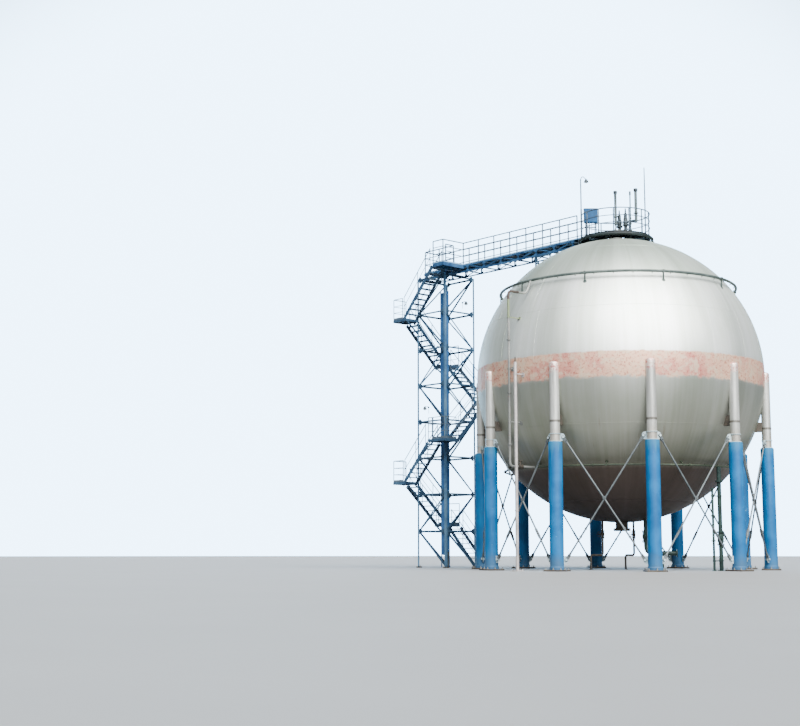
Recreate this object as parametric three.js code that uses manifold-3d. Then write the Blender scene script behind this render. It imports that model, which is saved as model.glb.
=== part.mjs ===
// Spherical gas tank on ten braced columns, with its top platform, access
// bridge and stair tower. Millimetres, +Z up, bridge along X, floor at z = 0.
import * as THREE from "three";
import { mergeVertices } from "three/addons/utils/BufferGeometryUtils.js";
import Module from "manifold-3d";

// Tank shell
const TANK_X = 2844;
const TANK_Y = 187;
const SHELL_R = 6190;
const SHELL_WALL = 45;
const CENTRE_Z = 8200;
const SHELL_SIDES = 40;
const BAND_STEP = 7.5;
const CAP_LAT = 60;
const BELT_LAT = 22.5;
const CLEAR = 0.3;

// Columns and tie rods
const COLUMNS = 10;
const COLUMN_TURN = -2.7;
const COLUMN_STEP = 360 / COLUMNS;
const COLUMN_CIRCLE = 6170;
const TUBE_R = 200;
const TUBE_TOP = 8250;
const TUBE_CAP = 90;
const SLEEVE_R = 280;
const SLEEVE_TOP = 5100;
const PLATE = 800;
const PLATE_T = 60;
const EAR_T = 30;
const EAR_H = 300;
const EAR_UP_Z = 5275;
const EAR_UP_OUT = 330;
const EAR_LOW_Z = 450;
const EAR_LOW_OUT = 380;
const EAR_EDGE = 70;
const BRACKET_T = 40;
const BRACKET_H = 420;
const BRACKET_Z = 6150;
const BRACKET_OUT = 6000;
const INTO_SHELL = 5700;
const ROD = 64;
const ROD_FORK = 40;

// Spray rings
const RING_UP_R = 5115;
const RING_UP_Z = 12050;
const RING_UP_PIPE = 50;
const RING_UP_LEG = 50;
const RING_LOW_R = 5030;
const RING_LOW_Z = 4210;
const RING_LOW_PIPE = 35;
const RING_LOW_LEG = 36;
const RING_SIDES = 6;
const RING_ROUND = 36;
const LEG_REACH = 300;
const LEG_DROP = 450;
const LEG_TURN_UP = 10;
const LEG_TURN_LOW = 18;

// Riser between the rings, pole and feed pipes
const FOOT = 350;
const FOOT_T = 30;
const STAY = 50;
const RISER_AT = -94.1;
const RISER_OUT = 6400;
const RISER_PIPE = 50;
const RISER_BEND = [5420, 11450];
const RISER_STAYS = [
  [6000, INTO_SHELL],
  [8200, 6100],
  [10325, 5750],
];
const POLE_AT = -88.8;
const POLE_OUT = 6640;
const POLE_PIPE = 65;
const POLE_TOP = 8400;
const POLE_STAY_Z = 7900;
const POLE_TIP_R = 30;
const POLE_TIP = 8600;
const FEED_AT = 1.1;
const FEED_PIPE = 85;
const FEED2_AT = -4.1;
const FEED2_PIPE = 50;
const FEED2_DROP = 900;
const FEED_LINKS = [400, 3000];
const FEED_LINK = 40;

// Bottom fittings
const BOTTOM_NECK_R = 270;
const BOTTOM_NECK_Z = 1730;
const BOTTOM_FLANGE_R = 370;
const BOTTOM_FLANGE = [1750, 1650];
const OUTLET_AT = [900, 500];
const OUTLET_PIPE = 100;
const OUTLET_Z = 700;
const OUTLET_RUN = 900;
const VALVE_R = 170;
const VALVE_Z = [1620, 1220];
const OUTLET_POST = 140;

// Top platform
const DECK_Z = 14630;
const DECK_T = 60;
const PLATFORM_Z = DECK_Z - DECK_T;
const PLATFORM_R = 1530;
const PLATFORM_T = 120;
const PLATFORM_HOLE = 470;
const DECK_LEG = 90;
const DECK_LEG_R = 1380;
const DECK_LEG_LOW = 14100;
const VALVE_HOLE = 150;
const GAUGE_HOLE = 60;
const VALVE_LEFT = [-361, 727];
const VENT_LEFT = [-458, 591];
const VALVE_RIGHT = [51, 653];
const VENT_RIGHT = [576, 751];
const VENT_LINK_Z = 15390;
const GAUGE_AT = [159, 867];
const BOX_AT = [-625, -928];
const LAMP_AT = [-1065, -1051];
const FITTING_LOW = 14150;
const VIEW_SIDE = 48.85;

// Railings
const RAIL_H = 1050;
const RAIL_TOP = RAIL_H - 22;
const RAIL_MID = 520;
const POST = 44;
const RAIL = 34;
const RAIL_EDGE = 24;
const POST_STEP = 1150;
const ROUND_FROM = -131;
const ROUND_TO = 181;
const ROUND_STEPS = 12;

// Bridge
const BRIDGE_Y = -600;
const BRIDGE_HALF = 500;
const BRIDGE_BOTTOM = 14208;
const BRIDGE_PAST = 1000;
const CHORD = 70;
const BRIDGE_PANELS = 7;
const BRIDGE_STOP = 1560;
const LATTICE_POST = 50;
const LATTICE_SLANT = 45;
const CROSS_BEAM = 60;
const WING_BEAM = 170;
const STRUT_AT = -3850;
const STRUT_RUN = 900;

// Stair tower
const TOWER_X = -10420;
const TOWER_HALF = 950;
const LEG = 100;
const TOWER_FOOT = 200;
const TOWER_BAYS = 8;
const BAY_H = 1776;
const LEVEL_BAR = 80;
const SLANT_BAR = 60;
const TRAY_W = 250;
const TRAY_T = 60;
const TRAY_TOP = 13400;

// Stairs round the tower: distances out from its middle, and for each flight
// its side, head and foot along that side, and its upper and lower level
const STAIR_IN = 1050;
const STAIR_OUT = 1830;
const LANDING_FROM = 900;
const LANDING_IN = 1000;
const LANDING_OUT = 1850;
const WING = [1050, 1800];
const FLIGHTS = [
  [0, -1050, 1150, DECK_Z, 12150],
  [1, -1000, 1050, 12150, 10120],
  [2, -1000, 1050, 10120, 8100],
  [3, -1000, 1050, 8100, 6080],
  [0, -700, 1100, 6080, 4130],
  [1, -1000, 1120, 4130, 2130],
  [2, -1000, 1050, 2130, 0],
];
const RISE = 225;
const TREAD_W = 250;
const TREAD_T = 36;
const STRINGER_T = 30;
const STRINGER_H = 180;
const LANDING_T = 130;
const HAND_POST = 28;
const HAND_TOP = 940;
const UNDER = 260;

const wasm = await Module();
wasm.setup();
const { Manifold } = wasm;
const group = new THREE.Group();
const UP = new THREE.Vector3(0, 0, 1);
const rad = THREE.MathUtils.degToRad;

// A closed three.js geometry as a solid, faces out.
function closed(geometry) {
  const g = geometry.clone();
  g.deleteAttribute("normal");
  g.deleteAttribute("uv");
  const m = mergeVertices(g, 1e-3);
  const tri = [];
  const idx = m.index.array;
  for (let i = 0; i < idx.length; i += 3) {
    const [a, b, c] = [idx[i], idx[i + 1], idx[i + 2]];
    if (a !== b && b !== c && a !== c) tri.push(a, b, c);
  }
  const make = (t) =>
    new Manifold(
      new wasm.Mesh({
        numProp: 3,
        vertProperties: new Float32Array(m.attributes.position.array),
        triVerts: new Uint32Array(t),
      }),
    );
  const solid = make(tri);
  if (solid.volume() > 0) return solid;
  const flipped = [];
  for (let i = 0; i < tri.length; i += 3)
    flipped.push(tri[i], tri[i + 2], tri[i + 1]);
  return make(flipped);
}

const join = (list) => list.reduce((a, b) => a.add(b));

function placed(geometry, x, y, z, from) {
  const m = new THREE.Matrix4().makeBasis(x, y, z).setPosition(from);
  geometry.applyMatrix4(m);
  return closed(geometry);
}

const vec = (p) => new THREE.Vector3(p[0], p[1], p[2]);

// A rectangular bar from a to b: wide across, tall in the up direction.
function bar(a, b, wide, tall = wide, up = UP) {
  const [p, q] = [vec(a), vec(b)];
  const along = q.clone().sub(p);
  const long = along.length();
  along.normalize();
  const side = new THREE.Vector3().crossVectors(up, along);
  if (side.length() < 1e-3) side.set(1, 0, 0);
  side.normalize();
  const high = new THREE.Vector3().crossVectors(along, side);
  const mid = p.add(q).multiplyScalar(0.5);
  return placed(
    new THREE.BoxGeometry(wide, tall, long),
    side,
    high,
    along,
    mid,
  );
}

// A round bar or a cone from a to b.
function rod(a, b, r, sides = 6, rEnd = r) {
  const [p, q] = [vec(a), vec(b)];
  const along = q.clone().sub(p);
  const long = along.length();
  along.normalize();
  const ref = Math.abs(along.z) > 0.9 ? new THREE.Vector3(1, 0, 0) : UP;
  const side = new THREE.Vector3().crossVectors(ref, along).normalize();
  const third = new THREE.Vector3().crossVectors(side, along);
  const mid = p.add(q).multiplyScalar(0.5);
  return placed(
    new THREE.CylinderGeometry(rEnd, r, long, sides),
    side,
    along,
    third,
    mid,
  );
}

// A pipe through several points, with ball corners of few sides.
function pipe(points, r, sides = 8) {
  const list = [];
  for (let i = 1; i < points.length; i += 1)
    list.push(rod(points[i - 1], points[i], r, sides));
  for (let i = 1; i < points.length - 1; i += 1) {
    const g = new THREE.IcosahedronGeometry(r * 1.15, 0);
    g.translate(...points[i]);
    list.push(closed(g));
  }
  return join(list);
}

// An upright round bar through [x, y] between two heights.
const post = ([x, y], z0, z1, r, sides = 8, rTop = r) =>
  rod([x, y, z0], [x, y, z1], r, sides, rTop);

const block = (x0, x1, y0, y1, z0, z1) => {
  const g = new THREE.BoxGeometry(x1 - x0, y1 - y0, z1 - z0);
  g.translate((x0 + x1) / 2, (y0 + y1) / 2, (z0 + z1) / 2);
  return closed(g);
};

// The block that has p and q as opposite corners.
const between = (p, q) => {
  const low = p.map((v, n) => Math.min(v, q[n]));
  const high = p.map((v, n) => Math.max(v, q[n]));
  return block(low[0], high[0], low[1], high[1], low[2], high[2]);
};

// A point by radius, direction and height about the tank's axis.
const at = (r, deg, z) => [
  TANK_X + r * Math.cos(rad(deg)),
  TANK_Y + r * Math.sin(rad(deg)),
  z,
];

const off = (p, deg, r, z = p[2]) => [
  p[0] + r * Math.cos(rad(deg)),
  p[1] + r * Math.sin(rad(deg)),
  z,
];

const lift = (p, z) => [p[0], p[1], z];
const beside = ([x, y]) => [TANK_X + x, TANK_Y + y];
const AXIS = beside([0, 0]);

// A turned solid about the tank's axis from (radius, z) points.
function turned(points, sides = SHELL_SIDES) {
  const g = new THREE.LatheGeometry(
    points.map(([r, z]) => new THREE.Vector2(r, z)),
    sides,
  );
  g.rotateX(Math.PI / 2);
  g.translate(TANK_X, TANK_Y, 0);
  return closed(g);
}

function ring(radius, z, r) {
  const g = new THREE.TorusGeometry(radius, r, RING_SIDES, RING_ROUND);
  g.translate(TANK_X, TANK_Y, z);
  return closed(g);
}

// A square foot plate or a stay, lying towards the tank's axis.
const footPlate = (out, deg) =>
  bar(
    at(out - FOOT / 2, deg, FOOT_T / 2),
    at(out + FOOT / 2, deg, FOOT_T / 2),
    FOOT,
    FOOT_T,
  );
const stay = (out, deg, z, to) => bar(at(out, deg, z), at(to, deg, z), STAY);

function node(name, solid, colour, roughness = 0.5) {
  const m = solid.getMesh();
  const g = new THREE.BufferGeometry();
  const pos = new Float32Array(m.numVert * 3);
  for (let i = 0; i < m.numVert; i += 1)
    pos.set(
      m.vertProperties.subarray(i * m.numProp, i * m.numProp + 3),
      i * 3,
    );
  g.setAttribute("position", new THREE.BufferAttribute(pos, 3));
  g.setIndex(new THREE.BufferAttribute(m.triVerts, 1));
  g.computeVertexNormals();
  const paint = new THREE.MeshStandardMaterial({ color: colour, roughness });
  const mesh = new THREE.Mesh(g, paint);
  mesh.name = name;
  group.add(mesh);
}

const SILVER = 0xb9bab4;
const BAND = 0xb98a7e;
const BLUE = 0x2f80c4;
const STEEL = 0x8f9698;
const TOWER = 0x4f7fa0;
const GREEN = 0x2d4a40;

// Shell: zones of a hollow sphere with level joints, a closed cap at each end.
const shellPoint = (r, lat) => [
  r * Math.cos(rad(lat)),
  CENTRE_Z + r * Math.sin(rad(lat)),
];

function zone(low, high, innerSteps) {
  const outer = [];
  for (let lat = low; lat <= high + 1e-6; lat += BAND_STEP)
    outer.push(shellPoint(SHELL_R, lat));
  const r = SHELL_R - SHELL_WALL;
  const edge = (lat) => {
    if (Math.abs(lat) > 89.9) return lat;
    const s = (SHELL_R * Math.sin(rad(lat))) / r;
    return THREE.MathUtils.radToDeg(Math.asin(s));
  };
  const [from, to] = [edge(high), edge(low)];
  const inner = [];
  for (let i = 0; i <= innerSteps; i += 1)
    inner.push(shellPoint(r, from + ((to - from) * i) / innerSteps));
  inner[0][1] = outer[outer.length - 1][1];
  inner[innerSteps][1] = outer[0][1];
  if (high > 89.9) {
    outer[outer.length - 1] = [0, CENTRE_Z + SHELL_R];
    inner[0] = [0, CENTRE_Z + r];
    return turned([...inner, ...outer]);
  }
  if (low < -89.9) {
    outer[0] = [0, CENTRE_Z - SHELL_R];
    inner[innerSteps] = [0, CENTRE_Z - r];
    return turned([...outer, ...inner]);
  }
  return turned([...outer, ...inner, outer[0]]);
}

const ballProfile = [];
for (let lat = -90; lat <= 90; lat += BAND_STEP)
  ballProfile.push(shellPoint(SHELL_R + CLEAR, lat));
ballProfile[0][0] = 0;
ballProfile[ballProfile.length - 1][0] = 0;
const ball = turned(ballProfile);

node("shell_bottom_cap", zone(-90, -CAP_LAT, 3), SILVER);
node("shell_lower_zone", zone(-CAP_LAT, -BELT_LAT, 3), SILVER);
node("shell_equator_belt", zone(-BELT_LAT, BELT_LAT, 4), BAND);
node("shell_upper_zone", zone(BELT_LAT, CAP_LAT, 3), SILVER);
node("shell_top_cap", zone(CAP_LAT, 90, 3), SILVER);

// Columns: base plate, sleeve, tube with collar and domed top, ears, bracket.
const columnTurn = (k) => COLUMN_TURN + k * COLUMN_STEP;
const toNext = 90 + COLUMN_STEP / 2;
const two = (k) => String(k + 1).padStart(2, "0");

// An ear stands from the column's axis to past its pin.
function ear(foot, deg, z, out, grow = 0) {
  const a = off(foot, deg, -grow, z);
  const b = off(foot, deg, out + EAR_EDGE + grow, z);
  return bar(a, b, EAR_T + 2 * grow, EAR_H + 2 * grow);
}

const ears = (k, grow) => {
  const foot = at(COLUMN_CIRCLE, columnTurn(k), 0);
  const turn = columnTurn(k);
  const list = [];
  for (const side of [turn + toNext, turn - toNext]) {
    list.push(ear(foot, side, EAR_UP_Z, EAR_UP_OUT, grow));
    list.push(ear(foot, side, EAR_LOW_Z, EAR_LOW_OUT, grow));
  }
  return join(list);
};

for (let k = 0; k < COLUMNS; k += 1) {
  const turn = columnTurn(k);
  const foot = at(COLUMN_CIRCLE, turn, 0);
  const plateIn = at(COLUMN_CIRCLE - PLATE / 2, turn, PLATE_T / 2);
  const plateOut = at(COLUMN_CIRCLE + PLATE / 2, turn, PLATE_T / 2);
  const solid = join([
    bar(plateIn, plateOut, PLATE, PLATE_T),
    post(foot, PLATE_T / 2, SLEEVE_TOP, SLEEVE_R, 12),
    post(foot, SLEEVE_TOP - 50, TUBE_TOP, TUBE_R, 10),
    post(foot, TUBE_TOP, TUBE_TOP + TUBE_CAP, TUBE_R, 10, TUBE_CAP),
    bar(
      at(INTO_SHELL, turn, BRACKET_Z),
      at(BRACKET_OUT, turn, BRACKET_Z),
      BRACKET_T,
      BRACKET_H,
    ),
    ears(k, 0),
  ]).subtract(ball);
  node("column_" + two(k), solid, BLUE);
}

// The point on the way from p to q, d after p.
function step(p, q, d) {
  const way = vec(q).sub(vec(p)).normalize();
  return vec(p).addScaledVector(way, d).toArray();
}

// Tie rods: two crossing rods a bay, forked over the ears.
for (let k = 0; k < COLUMNS; k += 1) {
  const next = (k + 1) % COLUMNS;
  const a = at(COLUMN_CIRCLE, columnTurn(k), 0);
  const b = at(COLUMN_CIRCLE, columnTurn(next), 0);
  const go = columnTurn(k) + toNext;
  const lowA = off(a, go, EAR_LOW_OUT, EAR_LOW_Z);
  const highB = off(b, go, -EAR_UP_OUT, EAR_UP_Z);
  const lowB = off(b, go, -EAR_LOW_OUT, EAR_LOW_Z);
  const highA = off(a, go, EAR_UP_OUT, EAR_UP_Z);
  const tie = (p, q) =>
    bar(step(p, q, -ROD_FORK), step(q, p, -ROD_FORK), ROD);
  const solid = join([tie(lowA, highB), tie(lowB, highA)])
    .subtract(ears(k, CLEAR))
    .subtract(ears(next, CLEAR));
  node("tie_rods_" + two(k), solid, STEEL);
}

// Spray rings: a round pipe on short legs that stand on the shell, upright
// under the upper ring and towards the shell's centre under the lower one.
function sprayRing(radius, z, pipeR, legTurn, leg, legEnd) {
  const list = [ring(radius, z, pipeR)];
  for (let k = 0; k < COLUMNS; k += 1) {
    const p = at(radius, columnTurn(k) + legTurn, z);
    list.push(bar(p, legEnd(p), leg));
  }
  return join(list).subtract(ball);
}

const below = (p) => lift(p, p[2] - LEG_DROP);
const inward = (p) => step(p, lift(AXIS, CENTRE_Z), LEG_REACH);
node(
  "upper_spray_ring",
  sprayRing(
    RING_UP_R,
    RING_UP_Z,
    RING_UP_PIPE,
    LEG_TURN_UP,
    RING_UP_LEG,
    below,
  ),
  GREEN,
);
node(
  "lower_spray_ring",
  sprayRing(
    RING_LOW_R,
    RING_LOW_Z,
    RING_LOW_PIPE,
    LEG_TURN_LOW,
    RING_LOW_LEG,
    inward,
  ),
  STEEL,
);

// Riser: from the lower ring to the upper one, with stays on the shell.
const [bendOut, bendZ] = RISER_BEND;
const riser = join([
  pipe(
    [
      at(RING_LOW_R, RISER_AT, RING_LOW_Z),
      at(RISER_OUT, RISER_AT, RING_LOW_Z),
      at(RISER_OUT, RISER_AT, bendZ),
      at(bendOut, RISER_AT, bendZ),
      at(RING_UP_R, RISER_AT, RING_UP_Z),
    ],
    RISER_PIPE,
  ),
  ...RISER_STAYS.map(([z, to]) => stay(RISER_OUT, RISER_AT, z, to)),
])
  .subtract(ball)
  .subtract(ring(RING_LOW_R, RING_LOW_Z, RING_LOW_PIPE + CLEAR))
  .subtract(ring(RING_UP_R, RING_UP_Z, RING_UP_PIPE + CLEAR));
node("ring_riser", riser, STEEL);

// Pole beside the riser, a pipe with a short tip.
const poleFoot = at(POLE_OUT, POLE_AT, 0);
const pole = join([
  post(poleFoot, FOOT_T / 2, POLE_TOP, POLE_PIPE, 10),
  post(poleFoot, POLE_TOP - 20, POLE_TIP, POLE_TIP_R, 6),
  footPlate(POLE_OUT, POLE_AT),
  stay(POLE_OUT, POLE_AT, POLE_STAY_Z, 6100),
]).subtract(ball);
node("riser_pole", pole, STEEL);

// Feed pipes of the lower ring.
const feedA = at(RING_LOW_R, FEED_AT, 0);
const feedB = at(RING_LOW_R, FEED2_AT, 0);
const feedTop = RING_LOW_Z - RING_LOW_PIPE + 12;
const feed = join([
  post(feedA, 0, feedTop, FEED_PIPE, 10),
  post(feedB, 0, RING_LOW_Z - FEED2_DROP, FEED2_PIPE),
  ...FEED_LINKS.map((z) => bar(lift(feedA, z), lift(feedB, z), FEED_LINK)),
]).subtract(ring(RING_LOW_R, RING_LOW_Z, RING_LOW_PIPE + CLEAR));
node("lower_ring_feed", feed, GREEN);

// Bottom manhole, and the outlet with its valve and post, under the shell.
node(
  "bottom_manhole",
  join([
    post(AXIS, BOTTOM_NECK_Z, CENTRE_Z - SHELL_R + 40, BOTTOM_NECK_R, 20),
    post(AXIS, ...BOTTOM_FLANGE, BOTTOM_FLANGE_R, 20),
  ]).subtract(ball),
  STEEL,
);

const outlet = beside(OUTLET_AT);
const outletBy = (d) => [outlet[0] + d, outlet[1] + d];
const outletPost = outletBy((OUTLET_RUN - OUTLET_POST) / 2);
node(
  "bottom_outlet",
  join([
    pipe(
      [
        lift(outlet, 2300),
        lift(outlet, OUTLET_Z),
        lift(outletBy(OUTLET_RUN), OUTLET_Z),
      ],
      OUTLET_PIPE,
      10,
    ),
    post(outlet, ...VALVE_Z, VALVE_R, 12),
    rod(
      lift(outletBy(OUTLET_RUN), OUTLET_Z),
      lift(outletBy(OUTLET_RUN + 30), OUTLET_Z),
      VALVE_R,
      12,
    ),
    block(
      outletPost[0],
      outletPost[0] + OUTLET_POST,
      outletPost[1],
      outletPost[1] + OUTLET_POST,
      0,
      OUTLET_Z - OUTLET_PIPE / 2,
    ),
  ]).subtract(ball),
  GREEN,
);

// Top platform: round deck on legs, with holes for the crown's fittings.
const hole = (p, r, sides = 10) =>
  post(beside(p), PLATFORM_Z - 300, PLATFORM_Z + 50, r, sides);
const deck = post(AXIS, PLATFORM_Z - PLATFORM_T, PLATFORM_Z, PLATFORM_R, 32)
  .subtract(hole([0, 0], PLATFORM_HOLE, 16))
  .subtract(hole(VALVE_LEFT, VALVE_HOLE))
  .subtract(hole(VALVE_RIGHT, VALVE_HOLE))
  .subtract(hole(GAUGE_AT, GAUGE_HOLE));
const deckLegs = [];
for (let k = 0; k < 8; k += 1) {
  const foot = at(DECK_LEG_R, 22.5 + k * 45, 0);
  const top = PLATFORM_Z - PLATFORM_T / 2;
  deckLegs.push(bar(lift(foot, top), lift(foot, DECK_LEG_LOW), DECK_LEG));
}
node("top_platform_deck", join([deck, ...deckLegs]).subtract(ball), TOWER);

// Round railing, open to the bridge.
const roundTurn = (i) =>
  ROUND_FROM + ((ROUND_TO - ROUND_FROM) * i) / ROUND_STEPS;
const roundAt = (i, h) =>
  at(PLATFORM_R - 30, roundTurn(i), PLATFORM_Z + h);
const roundRail = [];
for (let i = 0; i <= ROUND_STEPS; i += 1) {
  roundRail.push(bar(roundAt(i, 0), roundAt(i, RAIL_H), POST));
  if (i === 0) continue;
  for (const h of [RAIL_H - 21, RAIL_H / 2])
    roundRail.push(bar(roundAt(i - 1, h), roundAt(i, h), RAIL));
}
node("top_platform_railing", join(roundRail), TOWER);

// Fittings on the crown.
node(
  "top_manhole",
  join([
    post(AXIS, 14300, 14790, 300, 20),
    post(AXIS, 14740, 14860, 390, 20),
    post(AXIS, 14850, 14900, 250, 20, 120),
  ]).subtract(ball),
  STEEL,
);

// A relief valve on its nozzle, with a side outlet into an upright vent.
function reliefValve(foot, ventFoot, ventTop, ventR) {
  const p = beside(foot);
  const v = beside(ventFoot);
  return join([
    post(p, FITTING_LOW, 15250, 80),
    post(p, 15230, 15290, 140),
    post(p, 15280, 15780, 105, 8, 85),
    post(p, 15770, 16030, 50, 8, 30),
    rod(lift(p, VENT_LINK_Z), lift(v, VENT_LINK_Z), 60),
    post(v, VENT_LINK_Z - 75, ventTop, ventR),
  ]).subtract(ball);
}

node(
  "relief_valve_left",
  reliefValve(VALVE_LEFT, VENT_LEFT, 16915, 50),
  STEEL,
);
node(
  "relief_valve_right",
  reliefValve(VALVE_RIGHT, VENT_RIGHT, 16850, 55),
  STEEL,
);
const gauge = beside(GAUGE_AT);
node(
  "gauge_pipe",
  join([
    post(gauge, FITTING_LOW, 16830, 32),
    post(gauge, 14900, 15060, 75, 10),
  ]).subtract(ball),
  STEEL,
);

// Control box on a stand, its front to the platform's near side.
const boxAt = beside(BOX_AT);
const boxBar = (z0, z1, half, deep) =>
  bar(
    off(boxAt, VIEW_SIDE, -half, (z0 + z1) / 2),
    off(boxAt, VIEW_SIDE, half, (z0 + z1) / 2),
    deep,
    z1 - z0,
  );
const boxLeg = (s) => {
  const p = off(boxAt, VIEW_SIDE, s, PLATFORM_Z);
  return bar(p, lift(p, 15300), 50);
};
node(
  "control_box",
  join([
    boxBar(15230, 15850, 300, 200),
    boxBar(15840, 15880, 310, 220),
    boxBar(15000, 15050, 230, 50),
    boxLeg(-220),
    boxLeg(220),
  ]),
  BLUE,
);

// Lamp post with a short arm, and the lightning rod.
const lampFoot = beside(LAMP_AT);
const lampTop = lift(lampFoot, 17300);
const lampArm = off(lampFoot, VIEW_SIDE, 90, 17410);
const lampHead = off(lampFoot, VIEW_SIDE, 245, 17270);
node(
  "lamp_post",
  join([
    post(lampFoot, DECK_Z, DECK_Z + 20, 45),
    post(lampFoot, DECK_Z, lampTop[2], 32),
    bar(lampTop, lampArm, 40),
    bar(lampArm, lampHead, 40),
    post(lampHead, 17290, 17140, 50, 8, 110),
  ]),
  STEEL,
);

const whip = at(1340, VIEW_SIDE, PLATFORM_Z);
node(
  "lightning_rod",
  join([
    post(whip, PLATFORM_Z, PLATFORM_Z + 20, 90),
    post(whip, PLATFORM_Z, 16400, 30),
    post(whip, 16380, 17840, 24, 6, 14),
  ]),
  STEEL,
);

// Bridge: deck, two lattice sides, wing to the stairs over the tower.
const towerX = TANK_X + TOWER_X;
const towerY = TANK_Y + BRIDGE_Y;
const near = towerY - BRIDGE_HALF;
const far = towerY + BRIDGE_HALF;
const bridgeFrom = towerX - BRIDGE_PAST;
const [wingFrom, wingTo] = WING.map((x) => towerX + x);
const wingEnd = towerY - LANDING_OUT;
const spanFrom = towerX + TOWER_HALF;
const deckLow = DECK_Z - DECK_T;
const topChord = deckLow - CHORD / 2;
const lowChord = BRIDGE_BOTTOM + CHORD / 2;
const sideLines = [near + CHORD / 2, far - CHORD / 2];

const panel = Math.round((TANK_X - BRIDGE_STOP - spanFrom) / BRIDGE_PANELS);
const stations = [bridgeFrom + CHORD / 2, towerX];
for (let i = 0; i <= BRIDGE_PANELS; i += 1)
  stations.push(spanFrom + i * panel);
const bridgeEnd = stations[stations.length - 1];

const truss = [block(bridgeFrom, TANK_X - 1000, near, far, deckLow, DECK_Z)];
for (const y of sideLines) {
  for (const z of [topChord + 1, lowChord])
    truss.push(bar([bridgeFrom, y, z], [bridgeEnd, y, z], CHORD));
  stations.forEach((x, i) => {
    truss.push(bar([x, y, lowChord], [x, y, topChord], LATTICE_POST));
    if (i === 0) return;
    const [z0, z1] = i % 2 ? [lowChord, topChord] : [topChord, lowChord];
    truss.push(bar([stations[i - 1], y, z0], [x, y, z1], LATTICE_SLANT));
  });
}
const across = (x, z, wide, zFar = z) =>
  bar([x, sideLines[0], z], [x, sideLines[1], zFar], wide);
for (const x of stations) truss.push(across(x, lowChord, CROSS_BEAM));

const wingBeamZ = topChord - 50;
const wingBeam = (x0, y0, x1, y1) =>
  bar([x0, y0, wingBeamZ], [x1, y1, wingBeamZ], CHORD, WING_BEAM);
truss.push(block(wingFrom, wingTo, wingEnd, near + 5, deckLow, DECK_Z));
for (const x of [wingFrom + CHORD / 2, wingTo - CHORD / 2])
  truss.push(wingBeam(x, wingEnd, x, near + 40));
truss.push(
  wingBeam(wingFrom, wingEnd + CHORD / 2, wingTo, wingEnd + CHORD / 2),
);
node("bridge_truss", join(truss).subtract(ball), TOWER);

// A railing through corner points on a deck, posts at even steps.
function railing(points, z, gap = POST_STEP, rails = [RAIL_TOP, RAIL_MID]) {
  const list = [];
  const upright = ([x, y]) =>
    list.push(bar([x, y, z], [x, y, z + RAIL_TOP], POST));
  upright(points[0]);
  for (let i = 1; i < points.length; i += 1) {
    const [a, b] = [points[i - 1], points[i]];
    const long = Math.hypot(b[0] - a[0], b[1] - a[1]);
    const count = Math.max(1, Math.round(long / gap));
    for (let j = 1; j <= count; j += 1)
      upright(a.map((v, n) => Math.round(v + ((b[n] - v) * j) / count)));
    for (const h of rails)
      list.push(bar([...a, z + h], [...b, z + h], RAIL));
  }
  return join(list);
}

const railStop = TANK_X - 1590;
const nearRail = near + RAIL_EDGE;
const farRail = far - RAIL_EDGE;
node(
  "bridge_railing_front",
  railing(
    [
      [railStop + 290, nearRail],
      [wingTo - RAIL_EDGE, nearRail],
      [wingTo - RAIL_EDGE, wingEnd + RAIL_EDGE],
      [wingFrom + RAIL_EDGE, wingEnd + RAIL_EDGE],
    ],
    DECK_Z,
  ),
  TOWER,
);
node(
  "bridge_railing_back",
  railing(
    [
      [railStop, farRail],
      [bridgeFrom + RAIL_EDGE, farRail],
      [bridgeFrom + RAIL_EDGE, nearRail],
      [wingFrom + RAIL_EDGE, nearRail],
      [wingFrom + RAIL_EDGE, towerY - LANDING_IN],
    ],
    DECK_Z,
  ),
  TOWER,
);

// Strut of the bridge: two posts on the shell with slanted arms.
const strutX = TANK_X + STRUT_AT;
const strutTop = BRIDGE_BOTTOM - 30;
const strut = sideLines.flatMap((y) => [
  bar([strutX, y, strutTop], [strutX, y, 12700], 90),
  bar([strutX + 35, y, 13300], [strutX + STRUT_RUN, y, strutTop], 60),
  bar([strutX - 60, y, strutTop - 5], [strutX + 960, y, strutTop - 5], CHORD),
]);
strut.push(across(strutX, 13900, 60), across(strutX, 13250, 50, 13900));
const strutRoom = block(
  strutX - 2000,
  strutX + 2000,
  near - 200,
  far + 200,
  12000,
  BRIDGE_BOTTOM,
);
node("bridge_strut", join(strut).subtract(ball).intersect(strutRoom), TOWER);

// Stair tower: four flat sides of level and slanted bars. The front and the
// back side have the legs, the two others stand between them.
const corner = [
  [TOWER_HALF, -TOWER_HALF],
  [TOWER_HALF, TOWER_HALF],
  [-TOWER_HALF, TOWER_HALF],
  [-TOWER_HALF, -TOWER_HALF],
].map(([x, y]) => [towerX + x, towerY + y]);
const towerTop = TOWER_BAYS * BAY_H;
const LEVEL_DROP = LEVEL_BAR / 2;

function towerBars(a, b, risesToB) {
  const list = [];
  for (let i = 1; i <= TOWER_BAYS; i += 1) {
    const z = i * BAY_H - LEVEL_DROP;
    list.push(bar([...a, z], [...b, z], LEVEL_BAR));
    const low = i > 1 ? z - BAY_H : SLANT_BAR;
    const up = risesToB === (i % 2 === 1);
    list.push(
      bar([...a, up ? low : z], [...b, up ? z : low], SLANT_BAR),
    );
  }
  return list;
}

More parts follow.
